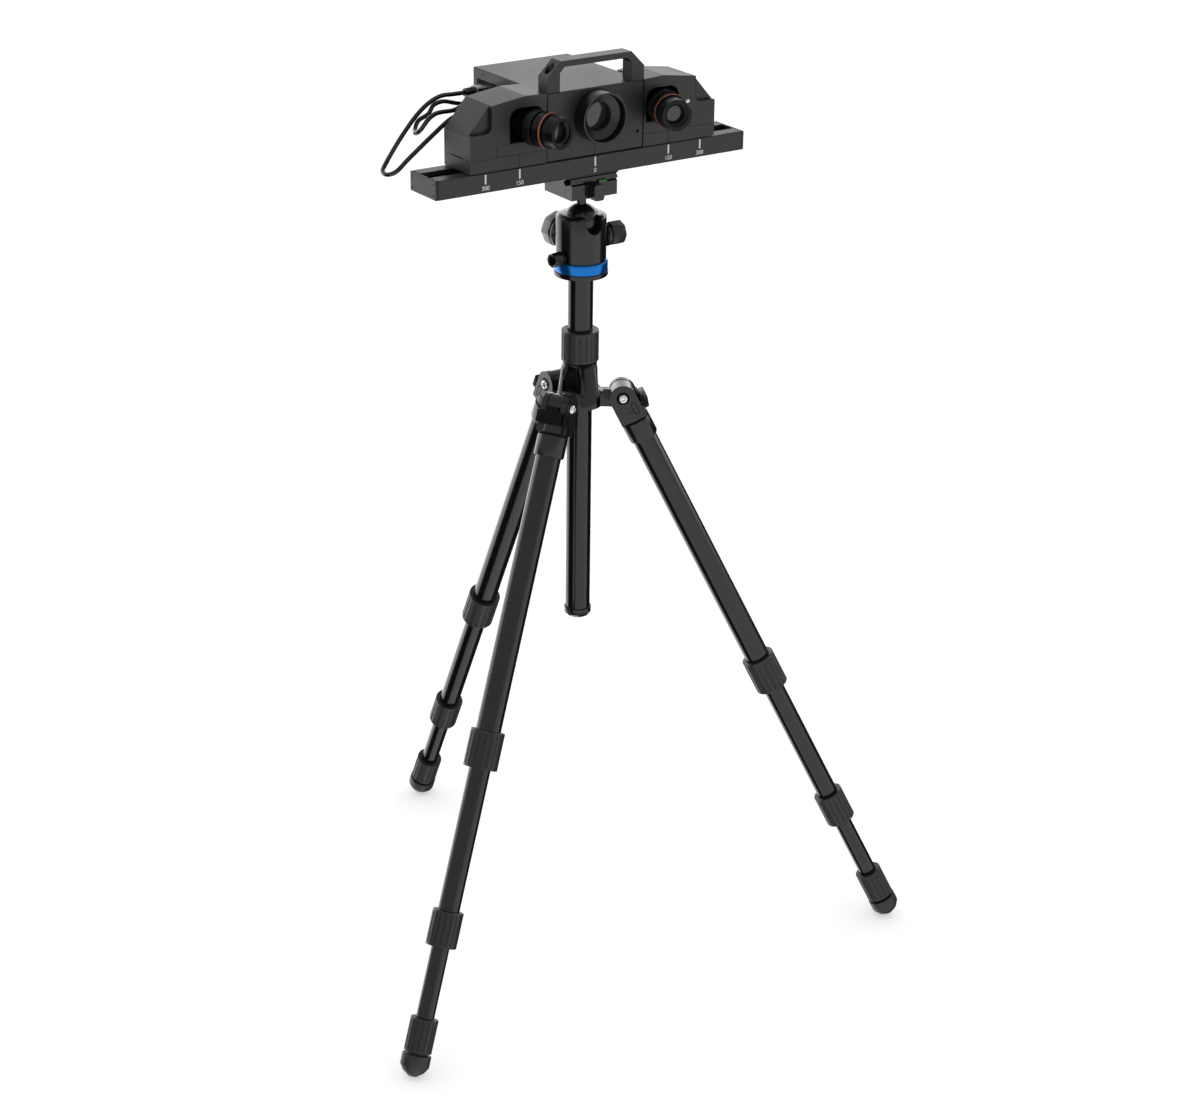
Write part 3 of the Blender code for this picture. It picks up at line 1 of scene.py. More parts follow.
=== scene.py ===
# Looks for the tripod 3D scanner: camera, light, materials and small details.
import json
import math

import bmesh
import bpy
from mathutils import Matrix, Vector


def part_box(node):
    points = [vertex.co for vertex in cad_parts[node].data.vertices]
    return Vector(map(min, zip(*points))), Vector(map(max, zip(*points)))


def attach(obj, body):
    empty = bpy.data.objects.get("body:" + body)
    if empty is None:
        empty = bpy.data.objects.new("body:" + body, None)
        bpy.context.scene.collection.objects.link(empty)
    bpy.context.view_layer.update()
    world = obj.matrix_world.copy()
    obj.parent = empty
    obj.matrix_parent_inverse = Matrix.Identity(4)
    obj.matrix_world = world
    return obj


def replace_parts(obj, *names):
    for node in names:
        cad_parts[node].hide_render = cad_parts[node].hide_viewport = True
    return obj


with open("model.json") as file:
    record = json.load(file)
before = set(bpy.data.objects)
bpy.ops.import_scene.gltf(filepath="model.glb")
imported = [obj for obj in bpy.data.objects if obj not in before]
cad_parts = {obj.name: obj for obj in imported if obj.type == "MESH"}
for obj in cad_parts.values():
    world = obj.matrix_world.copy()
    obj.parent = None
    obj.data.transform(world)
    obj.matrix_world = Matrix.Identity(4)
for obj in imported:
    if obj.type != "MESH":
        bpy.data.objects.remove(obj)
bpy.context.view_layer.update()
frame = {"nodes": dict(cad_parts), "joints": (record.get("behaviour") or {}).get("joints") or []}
nodes = frame["nodes"]
joints = {joint["name"]: joint for joint in frame["joints"]}

rail_low, rail_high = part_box("rail")
RAIL = Vector(((rail_low.x + rail_high.x) / 2, (rail_low.y + rail_high.y) / 2, rail_high.z))
RAIL_FRONT = rail_low.y
column_low, column_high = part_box("centre_column")
COLUMN = Vector(((column_low.x + column_high.x) / 2, (column_low.y + column_high.y) / 2, 0))

# Camera fitted to the photograph, from the column's axis and the floor
LENS_MM = 80.656
SENSOR_MM = 36
CAMERA_AWAY = Vector((-1.5932, -2.3514, 1.7083))
YAW = math.radians(34.12)
PITCH = math.radians(23.366)
PAN = math.radians(0.5103)
ROLL = math.radians(0.7486)


def add_camera():
    data = bpy.data.cameras.new("camera")
    data.sensor_fit = "HORIZONTAL"
    data.sensor_width = SENSOR_MM
    data.lens = LENS_MM
    data.clip_end = 50
    camera = bpy.data.objects.new("camera", data)
    bpy.context.scene.collection.objects.link(camera)
    forward = Vector((
        math.sin(PAN) * math.cos(PITCH),
        math.cos(PAN) * math.cos(PITCH),
        -math.sin(PITCH),
    ))
    right = Vector((math.cos(PAN), -math.sin(PAN), 0))
    up = right.cross(forward)
    tilted_right = right * math.cos(ROLL) + up * math.sin(ROLL)
    tilted_up = up * math.cos(ROLL) - right * math.sin(ROLL)
    turn = Matrix.Rotation(-YAW, 3, "Z")
    axes = [turn @ tilted_right, turn @ tilted_up, turn @ -forward]
    matrix = Matrix(axes).transposed().to_4x4()
    matrix.translation = COLUMN + CAMERA_AWAY
    camera.matrix_world = matrix
    bpy.context.scene.camera = camera
    return turn @ forward


VIEW_DIRECTION = add_camera()
TO_CAMERA = -Vector((VIEW_DIRECTION.x, VIEW_DIRECTION.y, 0)).normalized()
TO_RIGHT = Vector((-TO_CAMERA.y, TO_CAMERA.x, 0))


def link(obj):
    bpy.context.scene.collection.objects.link(obj)
    return obj


# Materials
FINE_DETAIL = 3
BROAD_SCALE = 14
BROAD_DETAIL = 4
GRAIN_HEIGHT = 0.0004
TINT_STARTS = (0.35, 0.65)


def shader_tree(name):
    material = bpy.data.materials.new(name)
    material.use_nodes = True
    tree = material.node_tree
    return material, tree, tree.nodes["Principled BSDF"]


def grained(
    name, colour, roughness, grain=900, bump=0.02, spread=0.06, metallic=0.0,
    specular=0.5, coat=0.0, tint=0.15,
):
    """Painted or anodised metal, rubber or plastic with a fine grain in colour, gloss and height."""
    material, tree, shader = shader_tree(name)
    coords = tree.nodes.new("ShaderNodeTexCoord")

    def noise(scale, detail):
        node = tree.nodes.new("ShaderNodeTexNoise")
        node.inputs["Scale"].default_value = scale
        node.inputs["Detail"].default_value = detail
        tree.links.new(coords.outputs["Object"], node.inputs["Vector"])
        return node.outputs["Fac"]

    fine = noise(grain, FINE_DETAIL)
    broad = noise(BROAD_SCALE, BROAD_DETAIL)
    gloss = tree.nodes.new("ShaderNodeMapRange")
    gloss.inputs["To Min"].default_value = roughness - spread
    gloss.inputs["To Max"].default_value = roughness + spread
    tree.links.new(broad, gloss.inputs["Value"])
    tree.links.new(gloss.outputs["Result"], shader.inputs["Roughness"])
    ramp = tree.nodes.new("ShaderNodeValToRGB")
    for stop, start, share in zip(ramp.color_ramp.elements, TINT_STARTS, (1 - tint, 1 + tint)):
        stop.position = start
        stop.color = (*[channel * share for channel in colour], 1)
    tree.links.new(fine, ramp.inputs["Fac"])
    tree.links.new(ramp.outputs["Color"], shader.inputs["Base Color"])
    height = tree.nodes.new("ShaderNodeBump")
    height.inputs["Strength"].default_value = bump
    height.inputs["Distance"].default_value = GRAIN_HEIGHT
    tree.links.new(fine, height.inputs["Height"])
    tree.links.new(height.outputs["Normal"], shader.inputs["Normal"])
    shader.inputs["Metallic"].default_value = metallic
    shader.inputs["Specular IOR Level"].default_value = specular
    shader.inputs["Coat Weight"].default_value = coat
    return material


ANODISED = grained("black_anodising", (0.011, 0.011, 0.0113), 0.46, grain=1500, bump=0.06, tint=0.35)
CASE = grained("case_coating", (0.011, 0.011, 0.0113), 0.46, grain=1100, bump=0.12, tint=0.6)
TUBE = grained("tube_anodising", (0.004, 0.004, 0.0042), 0.16, grain=700, bump=0.01, spread=0.03)
CAST = grained("cast_black", (0.005, 0.005, 0.0052), 0.2, grain=600, bump=0.03, spread=0.04)
RUBBER = grained("grip_rubber_black", (0.011, 0.011, 0.011), 0.42, grain=1300, bump=0.15, spread=0.05)
FOOT = grained("foot_rubber", (0.012, 0.012, 0.012), 0.5, grain=500, bump=0.2)
BARREL = grained("lens_black", (0.003, 0.003, 0.003), 0.3, grain=1500, bump=0.03, specular=0.22)
HOOD = grained("hood_black", (0.005, 0.005, 0.005), 0.34, grain=1500, bump=0.03, specular=0.5)
PLUG = grained("plug_metal", (0.16, 0.16, 0.165), 0.3, grain=500, bump=0.02, metallic=1.0, tint=0.1)
KNOB = grained("knob_black", (0.006, 0.006, 0.006), 0.24, grain=900, bump=0.04)
BRIGHT = grained(
    "bright_steel_polish", (0.7, 0.7, 0.71), 0.16, grain=400, bump=0.01, metallic=1.0, tint=0.05
)
BLUE = grained("blue_anodising", (0.006, 0.15, 0.50), 0.2, grain=900, bump=0.02, metallic=0.75, tint=0.1)
ORANGE = grained("orange_enamel", (0.50, 0.115, 0.022), 0.4, grain=800, bump=0.02, tint=0.08)
WHITE = grained("white_print", (0.82, 0.82, 0.82), 0.5, grain=900, bump=0.01, tint=0.03)
# Near-black for real seams, index lines and screw heads, and for painted shade along the recesses, in the
# slots and socket, round the leg bolts and where each leg head's casting ends.
SEAM_AND_SHADE = grained("seam_shadow", (0.0015, 0.0015, 0.0015), 0.7, grain=900, bump=0.01, specular=0.1)
STOP = grained("stop_plastic", (0.003, 0.003, 0.003), 0.35, grain=900, bump=0.03, specular=0.12)
LEAD = grained("lead_jacket_black", (0.003, 0.003, 0.003), 0.16, grain=900, bump=0.02, spread=0.03)
GREEN = grained("level_fluid", (0.002, 0.09, 0.003), 0.12, grain=300, bump=0.01, coat=0.6, tint=0.2)


def coated_glass(name, colour, roughness):
    """Front glass with a painted reflection: its colour turns bluer where the surface is seen at a slant,
    towards its rim.
    """
    material, tree, shader = shader_tree(name)
    # Painted reflection: the coating's blue is laid into the colour according to how slanted the surface
    # is to the view.
    layer = tree.nodes.new("ShaderNodeLayerWeight")
    layer.inputs["Blend"].default_value = 0.35
    ramp = tree.nodes.new("ShaderNodeValToRGB")
    ramp.color_ramp.elements[0].color = (*colour, 1)
    ramp.color_ramp.elements[1].color = (0.02, 0.03, 0.045, 1)
    tree.links.new(layer.outputs["Facing"], ramp.inputs["Fac"])
    tree.links.new(ramp.outputs["Color"], shader.inputs["Base Color"])
    shader.inputs["Roughness"].default_value = roughness
    shader.inputs["Coat Weight"].default_value = 0.6
    shader.inputs["Coat Roughness"].default_value = 0.02
    shader.inputs["Specular IOR Level"].default_value = 0.45
    return material


LENS_GLASS = coated_glass("lens_glass_coat", (0.008, 0.008, 0.009), 0.06)
PROJECTOR_GLASS = coated_glass("projector_glass_coat", (0.02, 0.02, 0.021), 0.12)


def dress(material, *names):
    for name in names:
        mesh = nodes[name].data
        mesh.materials.clear()
        mesh.materials.append(material)


# Solids that show as they are; the pieces further on stand for the others
SIDES = (("left", -1), ("right", 1))
LEGS = ("a", "b", "c")
dress(ANODISED, "rail", "rail_end_left", "rail_end_right", "handle")
dress(ANODISED, "camera_housing_left", "camera_housing_right")
dress(CASE, "projector_case")
dress(PROJECTOR_GLASS, "projector_glass")
dress(CAST, "quick_release_plate", "clamp_body", "clamp_jaw")
dress(CAST, *["leg_head_" + letter for letter in LEGS])
dress(KNOB, "clamp_knob")
dress(TUBE, "column_cap")
dress(GREEN, "level_vial")
dress(PLUG, "plug_left")


# Leads: the same routes as the solids, from the rail's top
LEAD_DIAMETER = 0.005
LEAD_STUB = 0.005
LONG_ENDS = ((-0.0996, 0.0800, 0.0590), (-0.1350, 0.0318, 0.0470))
SHORT_ENDS = ((-0.0683, 0.1000, 0.0420), (-0.1180, 0.0318, 0.0600))
LONG_ROUTE = (
    (-0.1140, 0.0796, 0.0592),
    (-0.1315, 0.0760, 0.0602),
    (-0.1486, 0.0721, 0.0556),
    (-0.1639, 0.0701, 0.0458),
    (-0.1781, 0.0695, 0.0316),
    (-0.1910, 0.0695, 0.0160),
    (-0.2023, 0.0717, -0.0019),
    (-0.2102, 0.0657, -0.0084),
    (-0.2112, 0.0544, -0.0097),
    (-0.2045, 0.0463, -0.0051),
    (-0.1904, 0.0459, 0.0060),
    (-0.1693, 0.0446, 0.0222),
    (-0.1549, 0.0457, 0.0316),
    (-0.1424, 0.0462, 0.0396),
    (-0.1371, 0.0423, 0.0446),
)
SHORT_ROUTE = (
    (-0.0889, 0.0980, 0.0420),
    (-0.1062, 0.0878, 0.0469),
    (-0.1252, 0.0807, 0.0527),
    (-0.1400, 0.0764, 0.0514),
    (-0.1493, 0.0720, 0.0439),
    (-0.1612, 0.0729, 0.0380),
    (-0.1694, 0.0666, 0.0309),
    (-0.1754, 0.0550, 0.0298),
    (-0.1748, 0.0449, 0.0363),
    (-0.1667, 0.0417, 0.0474),
    (-0.1537, 0.0452, 0.0513),
    (-0.1316, 0.0484, 0.0508),
    (-0.1212, 0.0436, 0.0569),
)


def smooth_route(points, per_span=5):
    """One smooth curve through the route's points, and its length."""
    dense = []
    last = len(points) - 1
    for i in range(last):
        p0 = Vector(points[max(i - 1, 0)])
        p1 = Vector(points[i])
        p2 = Vector(points[i + 1])
        p3 = Vector(points[min(i + 2, last)])
        for step in range(per_span):
            t = step / per_span
            linear = (p2 - p0) * t
            square = (p0 * 2 - p1 * 5 + p2 * 4 - p3) * t**2
            cube = (p1 * 3 - p0 - p2 * 3 + p3) * t**3
            dense.append((p1 * 2 + linear + square + cube) / 2)
    dense.append(Vector(points[last]))
    return dense, sum((b - a).length for a, b in zip(dense, dense[1:]))


def wire(name, points, radius, material, body, resolution=4, cyclic=False):
    curve = bpy.data.curves.new(name, "CURVE")
    curve.dimensions = "3D"
    curve.bevel_depth = radius
    curve.bevel_resolution = resolution
    curve.use_fill_caps = True
    spline = curve.splines.new("POLY")
    spline.points.add(len(points) - 1)
    for point, at in zip(spline.points, points):
        point.co = (*at, 1)
    spline.use_cyclic_u = cyclic
    curve.materials.append(material)
    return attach(link(bpy.data.objects.new(name, curve)), body)


def add_lead(node, ends, route):
    start = RAIL + Vector(ends[0])
    end = RAIL + Vector(ends[1])
    first = start + Vector((-LEAD_STUB, 0, 0))
    final = end + Vector((0, LEAD_STUB, 0))
    points, length = smooth_route([first, *[RAIL + Vector(p) for p in route], final])
    points = [start, *points, end]
    length += LEAD_STUB * 2
    lead = wire(node + "_jacket", points, LEAD_DIAMETER / 2, LEAD, "scanner")
    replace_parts(lead, node)
    tuple(points[0])
    print(node, "length", round(length, 4))


add_lead("long_lead", LONG_ENDS, LONG_ROUTE)
add_lead("short_lead", SHORT_ENDS, SHORT_ROUTE)


# Small solids; a profile is a row of (radius, height) points in metres along a piece's axis
SHARP_ANGLE = math.radians(35)
RIB_SHARP_ANGLE = math.radians(30)
PER_RIB = 12
GROOVE_STEPS = 4
GROOVE_DEPTH = 0.0008
FLAT_SHARE = 0.86


def solid(name, mesh, material, body, matrix=None):
    if matrix is not None:
        mesh.transform(matrix)
    mesh.materials.append(material)
    obj = link(bpy.data.objects.new(name, mesh))
    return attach(obj, body)


def mesh_from(edit, name):
    mesh = bpy.data.meshes.new(name)
    edit.to_mesh(mesh)
    edit.free()
    return mesh


def smoothed(mesh, sharp=SHARP_ANGLE):
    mesh.shade_smooth()
    mesh.set_sharp_from_angle(angle=sharp)
    return mesh


def slab(name, low, high, bevel, material, body, matrix=None):
    """Box between two corners, with its edges rounded by the bevel."""
    edit = bmesh.new()
    bmesh.ops.create_cube(edit, size=1)
    size = Vector(high) - Vector(low)
    middle = (Vector(high) + Vector(low)) / 2
    fit = Matrix.Translation(middle) @ Matrix.Diagonal((*size, 1))
    bmesh.ops.transform(edit, matrix=fit, verts=edit.verts)
    if bevel:
        bmesh.ops.bevel(edit, geom=edit.edges[:], offset=bevel, segments=2, affect="EDGES", profile=0.5)
    return solid(name, smoothed(mesh_from(edit, name)), material, body, matrix)


def add_ring(edit, radii, height):
    ring = []
    for step, radius in enumerate(radii):
        angle = 2 * math.pi * step / len(radii)
        ring.append(edit.verts.new((radius * math.cos(angle), radius * math.sin(angle), height)))
    return ring


def add_band(edit, upper, lower):
    """Faces between two rings, of which one may be a single point on the axis."""
    steps = max(len(upper), len(lower))
    for step in range(steps):
        after = (step + 1) % steps
        if len(upper) == 1:
            edit.faces.new((upper[0], lower[step], lower[after]))
        elif len(lower) == 1:
            edit.faces.new((upper[step], lower[0], upper[after]))
        else:
            edit.faces.new((upper[step], lower[step], lower[after], upper[after]))


def turned(name, profile, material, body, matrix, steps=48):
    """Turned piece along local Z. A profile that starts off the axis is closed to itself."""
    edit = bmesh.new()
    rings = [add_ring(edit, [radius] * (steps if radius else 1), height) for radius, height in profile]
    pairs = list(zip(rings, rings[1:]))
    if profile[0][0] != 0:
        pairs.append((rings[-1], rings[0]))
    for upper, lower in pairs:
        add_band(edit, upper, lower)
    bmesh.ops.recalc_face_normals(edit, faces=edit.faces)
    return solid(name, smoothed(mesh_from(edit, name)), material, body, matrix)


def ribbed(name, profile, bands, count, level, material, body, matrix):
    """Closed sleeve along local Z, shaped by level on the profile's points named in bands."""
    edit = bmesh.new()
    steps = count * PER_RIB
    rings = []
    for index, (radius, height) in enumerate(profile):
        radii = [level(radius, step) if index in bands else radius for step in range(steps)]
        rings.append(add_ring(edit, radii, height))
    for upper, lower in zip(rings, rings[1:] + rings[:1]):
        add_band(edit, upper, lower)
    bmesh.ops.recalc_face_normals(edit, faces=edit.faces)
    return solid(name, smoothed(mesh_from(edit, name), RIB_SHARP_ANGLE), material, body, matrix)


def grooves(depth):
    """Square grooves along a sleeve: the radius at each step round it."""
    def level(radius, step):
        return radius - (depth if step % PER_RIB < GROOVE_STEPS else 0)
    return level


def flats(count, depth):
    """Flats round a knob, with the round left between them, and a notch at each."""
    half = math.pi / count
    reach = math.cos(half * FLAT_SHARE)

    def level(radius, step):
        index = step % PER_RIB
        angle = (index / PER_RIB * 2 - 1) * half
        return min(radius, radius * reach / math.cos(angle)) - (depth if index == 0 else 0)
    return level


def along(place, direction):
    turn = Vector(direction).to_track_quat("Z", "Y").to_matrix().to_4x4()
    return Matrix.Translation(place) @ turn


def prism(points, near, far, matrix):
    """Cutter from (y, z) points, running along local X."""
    edit = bmesh.new()
    low = [edit.verts.new(matrix @ Vector((near, y, z))) for y, z in points]
    high = [edit.verts.new(matrix @ Vector((far, y, z))) for y, z in points]
    edit.faces.new(low)
    edit.faces.new(list(reversed(high)))
    for step in range(len(points)):
        after = (step + 1) % len(points)
        edit.faces.new((low[step], high[step], high[after], low[after]))
    bmesh.ops.recalc_face_normals(edit, faces=edit.faces)
    return link(bpy.data.objects.new("cutter", mesh_from(edit, "cutter")))


def peg(radius, length, matrix):
    """Round cutter along local Z."""
    edit = bmesh.new()
    bmesh.ops.create_cone(
        edit, cap_ends=True, segments=32, radius1=radius, radius2=radius, depth=length
    )
    mesh = mesh_from(edit, "peg")
    mesh.transform(matrix)
    return link(bpy.data.objects.new("peg", mesh))


def carve(piece, *cutters):
    """Cut the cutters' shapes out of a piece's own mesh."""
    steps = []
    for cutter in cutters:
        step = piece.modifiers.new("cut", "BOOLEAN")
        step.operation = "DIFFERENCE"
        step.solver = "EXACT"
        step.object = cutter
        steps.append(step)
    bpy.context.view_layer.update()
    graph = bpy.context.evaluated_depsgraph_get()
    mesh = bpy.data.meshes.new_from_object(piece.evaluated_get(graph))
    for step in steps:
        piece.modifiers.remove(step)
    piece.data = smoothed(mesh)
    for cutter in cutters:
        bpy.data.objects.remove(cutter, do_unlink=True)
    return piece


# Scale on the rail's front
PRINT_RISE = 0.0001
PRINT_DEPTH = 0.00005
MARKS = ((-0.139, "300"), (-0.0965, "150"), (0, "0"), (0.0965, "150"), (0.139, "300"))
TICK_WIDTH = 0.0019
TICK_TOP = 0.0015
TICK_BOTTOM = 0.0115
NUMBER_GAP = 0.0014
NUMBER_SIZE = 0.0066


def digits(name, text, place, size, material, body):
    """Raised print on the rail's front."""
    curve = bpy.data.curves.new(name, "FONT")
    curve.body = text
    curve.size = size
    curve.align_x = "CENTER"
    curve.align_y = "TOP"
    curve.extrude = PRINT_DEPTH
    curve.materials.append(material)
    obj = link(bpy.data.objects.new(name, curve))
    obj.matrix_world = Matrix.Translation(place) @ Matrix.Rotation(math.pi / 2, 4, "X")
    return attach(obj, body)


for place, label in MARKS:
    side = "left" if place < 0 else "right" if place > 0 else "middle"
    at = RAIL + Vector((place, 0, 0))
    slab(
        f"tick_{label}_{side}",
        (at.x - TICK_WIDTH / 2, RAIL_FRONT - PRINT_RISE, at.z - TICK_BOTTOM),
        (at.x + TICK_WIDTH / 2, RAIL_FRONT + PRINT_RISE, at.z - TICK_TOP),
        0, WHITE, "scanner",
    )
    digits(
        f"number_{label}_{side}", label,
        (at.x, RAIL_FRONT - PRINT_RISE / 2, at.z - TICK_BOTTOM - NUMBER_GAP),
        NUMBER_SIZE, WHITE, "scanner",
    )

# Seams and index lines on the modules and the case, painted shade lines along the recesses and flat dark
# sheets of painted shade in the side slots, measured from the rail's top
LINE_RADIUS = 0.00018
INDEX_RADIUS = LINE_RADIUS * 1.4
INDEX_PLACE = 0.0965
INDEX_BOTTOM = 0.0012
MIDDLE_INDEX = (-0.001, 0.0155)
MODULE_INNER = 0.0627
MODULE_OUTER = 0.158
MODULE_BACK = 0.0255
BASE_SEAM = 0.0148
PANEL_PLACE = 0.1255
PANEL_TOP = 0.027
RECESS_PLACE = 0.1313
RECESS_SHADE_LINE = ((0, 0.0703), (0, 0.0485), (0.0021, 0.0436), (0.007, 0.0415))
SIDE_SLOT_FRONT = 0.0117
SIDE_SLOT_BACK = 0.0113
SIDE_SLOT_HEIGHT = 0.0153
SIDE_SLOT_HALF = 0.0006


def index_line(name, x, top, body):
    points = [(x, RAIL_FRONT, RAIL.z + INDEX_BOTTOM), (x, RAIL_FRONT, RAIL.z + top)]
    wire(name, points, INDEX_RADIUS, SEAM_AND_SHADE, body, 1)


for side, sign in SIDES:
    body = "camera_" + side
    outer = RAIL.x + sign * MODULE_OUTER
    inner = RAIL.x + sign * MODULE_INNER
    back = RAIL.y + MODULE_BACK
    level = RAIL.z + BASE_SEAM
    points = [(inner, RAIL_FRONT, level), (outer, RAIL_FRONT, level)]
    points += [(outer, back, level), (inner, back, level)]
    wire("base_seam_" + side, points, LINE_RADIUS, SEAM_AND_SHADE, body, 1)
    panel = RAIL.x + sign * PANEL_PLACE
    top = RAIL.z + PANEL_TOP
    points = [(panel, RAIL_FRONT, level), (panel, RAIL_FRONT, top), (inner, RAIL_FRONT, top)]
    wire("panel_seam_" + side, points, LINE_RADIUS, SEAM_AND_SHADE, body, 1)
    index_line("index_line_" + side, RAIL.x + sign * INDEX_PLACE, BASE_SEAM, body)
    # Painted shade: a dark line on the front face along the recess's edge, where shade falls into the
    # recess.
    edge = RAIL.x + sign * RECESS_PLACE
    points = [(edge + sign * out, RAIL_FRONT, RAIL.z + rise) for out, rise in RECESS_SHADE_LINE]
    points.append((outer, RAIL_FRONT, RAIL.z + RECESS_SHADE_LINE[-1][1]))
    wire("recess_shade_line_" + side, points, LINE_RADIUS, SEAM_AND_SHADE, body, 1)
    # Painted shade: a flat dark sheet on the module's outer side for the slot's shaded inside.
    slot = RAIL.z + SIDE_SLOT_HEIGHT
    slab(
        "side_slot_" + side,
        (outer - PRINT_RISE, RAIL.y - SIDE_SLOT_FRONT, slot - SIDE_SLOT_HALF),
        (outer + PRINT_RISE, RAIL.y + SIDE_SLOT_BACK, slot + SIDE_SLOT_HALF),
        0, SEAM_AND_SHADE, body,
    )
index_line("index_line_middle", RAIL.x + MIDDLE_INDEX[0], MIDDLE_INDEX[1], "scanner")

# Screws in the rail's end plates and in the case's left side
SCREW_INSET = 0.0045
END_SCREW = (0.0014, 0.0011)
CASE_SCREW = (0.0013, 0.0009)
CASE_HALF_WIDTH = 0.062
CASE_SCREWS = ((0.102, 0.0695), (0.116, 0.018), (0.040, 0.0695))


def screw_head(name, place, direction, radii):
    radius, crown = radii
    head = [(0, 0.0001), (crown, 0.0001), (radius, -0.0002), (radius, -0.001), (0, -0.001)]
    turned(name, head, SEAM_AND_SHADE, "scanner", along(place, direction), 16)


for side, sign in SIDES:
    low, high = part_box("rail_end_" + side)
    face = low.x if sign < 0 else high.x
    for row, y in enumerate((low.y + SCREW_INSET, high.y - SCREW_INSET)):
        for column, z in enumerate((low.z + SCREW_INSET, high.z - SCREW_INSET)):
            screw_head(f"end_screw_{side}_{row}{column}", (face, y, z), (sign, 0, 0), END_SCREW)
for index, (y, z) in enumerate(CASE_SCREWS):
    place = RAIL + Vector((-CASE_HALF_WIDTH, y, z))
    screw_head(f"case_screw_{index}", place, (-1, 0, 0), CASE_SCREW)

# Socket in the case's left side, a flat dark sheet of painted shade for its inside, and the ribs of the
# plug beside it
CASE_SIDE = RAIL.x - CASE_HALF_WIDTH
SOCKET_PLACE = (0.0908, 0.0590)
SOCKET_HALF_LENGTH = 0.0227
SOCKET_HALF_HEIGHT = 0.0045
RELIEF_START = 0.0122
RELIEF_STEP = 0.0026
RELIEF_CORE = 0.0043
RELIEF_END = 0.0123
RELIEF_RIBS = 4
FIRST_RIB_PLACE = 0.0118
FIRST_RIB_RADIUS = 0.0046
RIB_GROWTH = 0.0002
socket_centre = RAIL + Vector((0, *SOCKET_PLACE))
# Painted shade: a flat dark sheet for the socket's shaded inside.
slab(
    "case_socket",
    (
        CASE_SIDE - PRINT_RISE,
        socket_centre.y - SOCKET_HALF_LENGTH,
        socket_centre.z - SOCKET_HALF_HEIGHT,
    ),
    (
        CASE_SIDE + PRINT_RISE,
        socket_centre.y + SOCKET_HALF_LENGTH,
        socket_centre.z + SOCKET_HALF_HEIGHT,
    ),
    0, SEAM_AND_SHADE, "scanner",
)

plug_low, plug_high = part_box("plug_left")
relief_axis = Vector((0, (plug_low.y + plug_high.y) / 2, (plug_low.z + plug_high.z) / 2))
relief = [(0, RELIEF_END), (RELIEF_CORE, RELIEF_END)]
for rib in range(RELIEF_RIBS):
    base = FIRST_RIB_PLACE - rib * RELIEF_STEP
    radius = FIRST_RIB_RADIUS + rib * RIB_GROWTH
    relief += [(radius, base), (radius, base - RELIEF_STEP * 0.5)]
    relief += [(RELIEF_CORE, base - RELIEF_STEP * 0.55), (RELIEF_CORE, base - RELIEF_STEP * 0.95)]
relief += [(0.0055, 0.0008), (0.0055, 0), (0, 0)]
turned(
    "plug_relief", relief, LEAD, "scanner",
    along((plug_low.x + RELIEF_START, relief_axis.y, relief_axis.z), (-1, 0, 0)), 32,
)

# Lenses: smooth barrel and focus ring, orange band, bright lock screw
BARREL_PROFILE = (
    (0, 0.0380), (0.0100, 0.0380), (0.0100, 0.0443), (0.0118, 0.0463), (0.0122, 0.0465),
    (0.0140, 0.0465), (0.0140, 0.0290), (0.0178, 0.0290), (0.0181, 0.0287), (0.0181, 0.0202),
    (0.0178, 0.0200), (0.0152, 0.0200), (0.0152, 0.0180), (0.0190, 0.0180), (0.0193, 0.0177),
    (0.0193, 0.0160), (0.0190, 0.0158), (0.0190, 0.0154), (0.0193, 0.0152), (0.0193, 0.0084),
    (0.0190, 0.0080), (0.0160, 0.0047), (0.0158, 0.0043), (0.0158, -0.0143), (0, -0.0143),
)
SENSOR_HALF = 0.0142
SENSOR_BACK = -0.0380
SENSOR_FRONT = -0.0140
FOCUS_PROFILE = (
    (0.0165, 0.0485), (0.0170, 0.0480), (0.0170, 0.0392), (0.0168, 0.0390), (0.0168, 0.0386),
    (0.0170, 0.0384), (0.0170, 0.0362), (0.0168, 0.0360), (0.0168, 0.0356), (0.0170, 0.0354),
    (0.0170, 0.0325), (0.0186, 0.0325), (0.0190, 0.0322), (0.0190, 0.0297), (0.0187, 0.0293),
    (0.0143, 0.0293), (0.0143, 0.0469), (0.0127, 0.0469), (0.0127, 0.0481), (0.0131, 0.0485),
)
BAND_PROFILE = ((0.0188, 0.0316), (0.01915, 0.0314), (0.01915, 0.0301), (0.0188, 0.0299))
GLASS_PROFILE = (
    (0, 0.0407), (0.004, 0.04057), (0.008, 0.0402), (0.0097, 0.0399), (0.0097, 0.0383), (0, 0.0383),
)
LOCK_PROFILE = (
    (0, 0.0222), (0.0009, 0.0222), (0.0009, 0.0229), (0.0016, 0.0229), (0.0018, 0.0227),
    (0.0018, 0.0172), (0, 0.0172),
)
LOCK_HEIGHT = 0.0309
LOCK_DIRECTIONS = {"left": (0.5, 0, -0.866), "right": (0.883, 0, 0.469)}
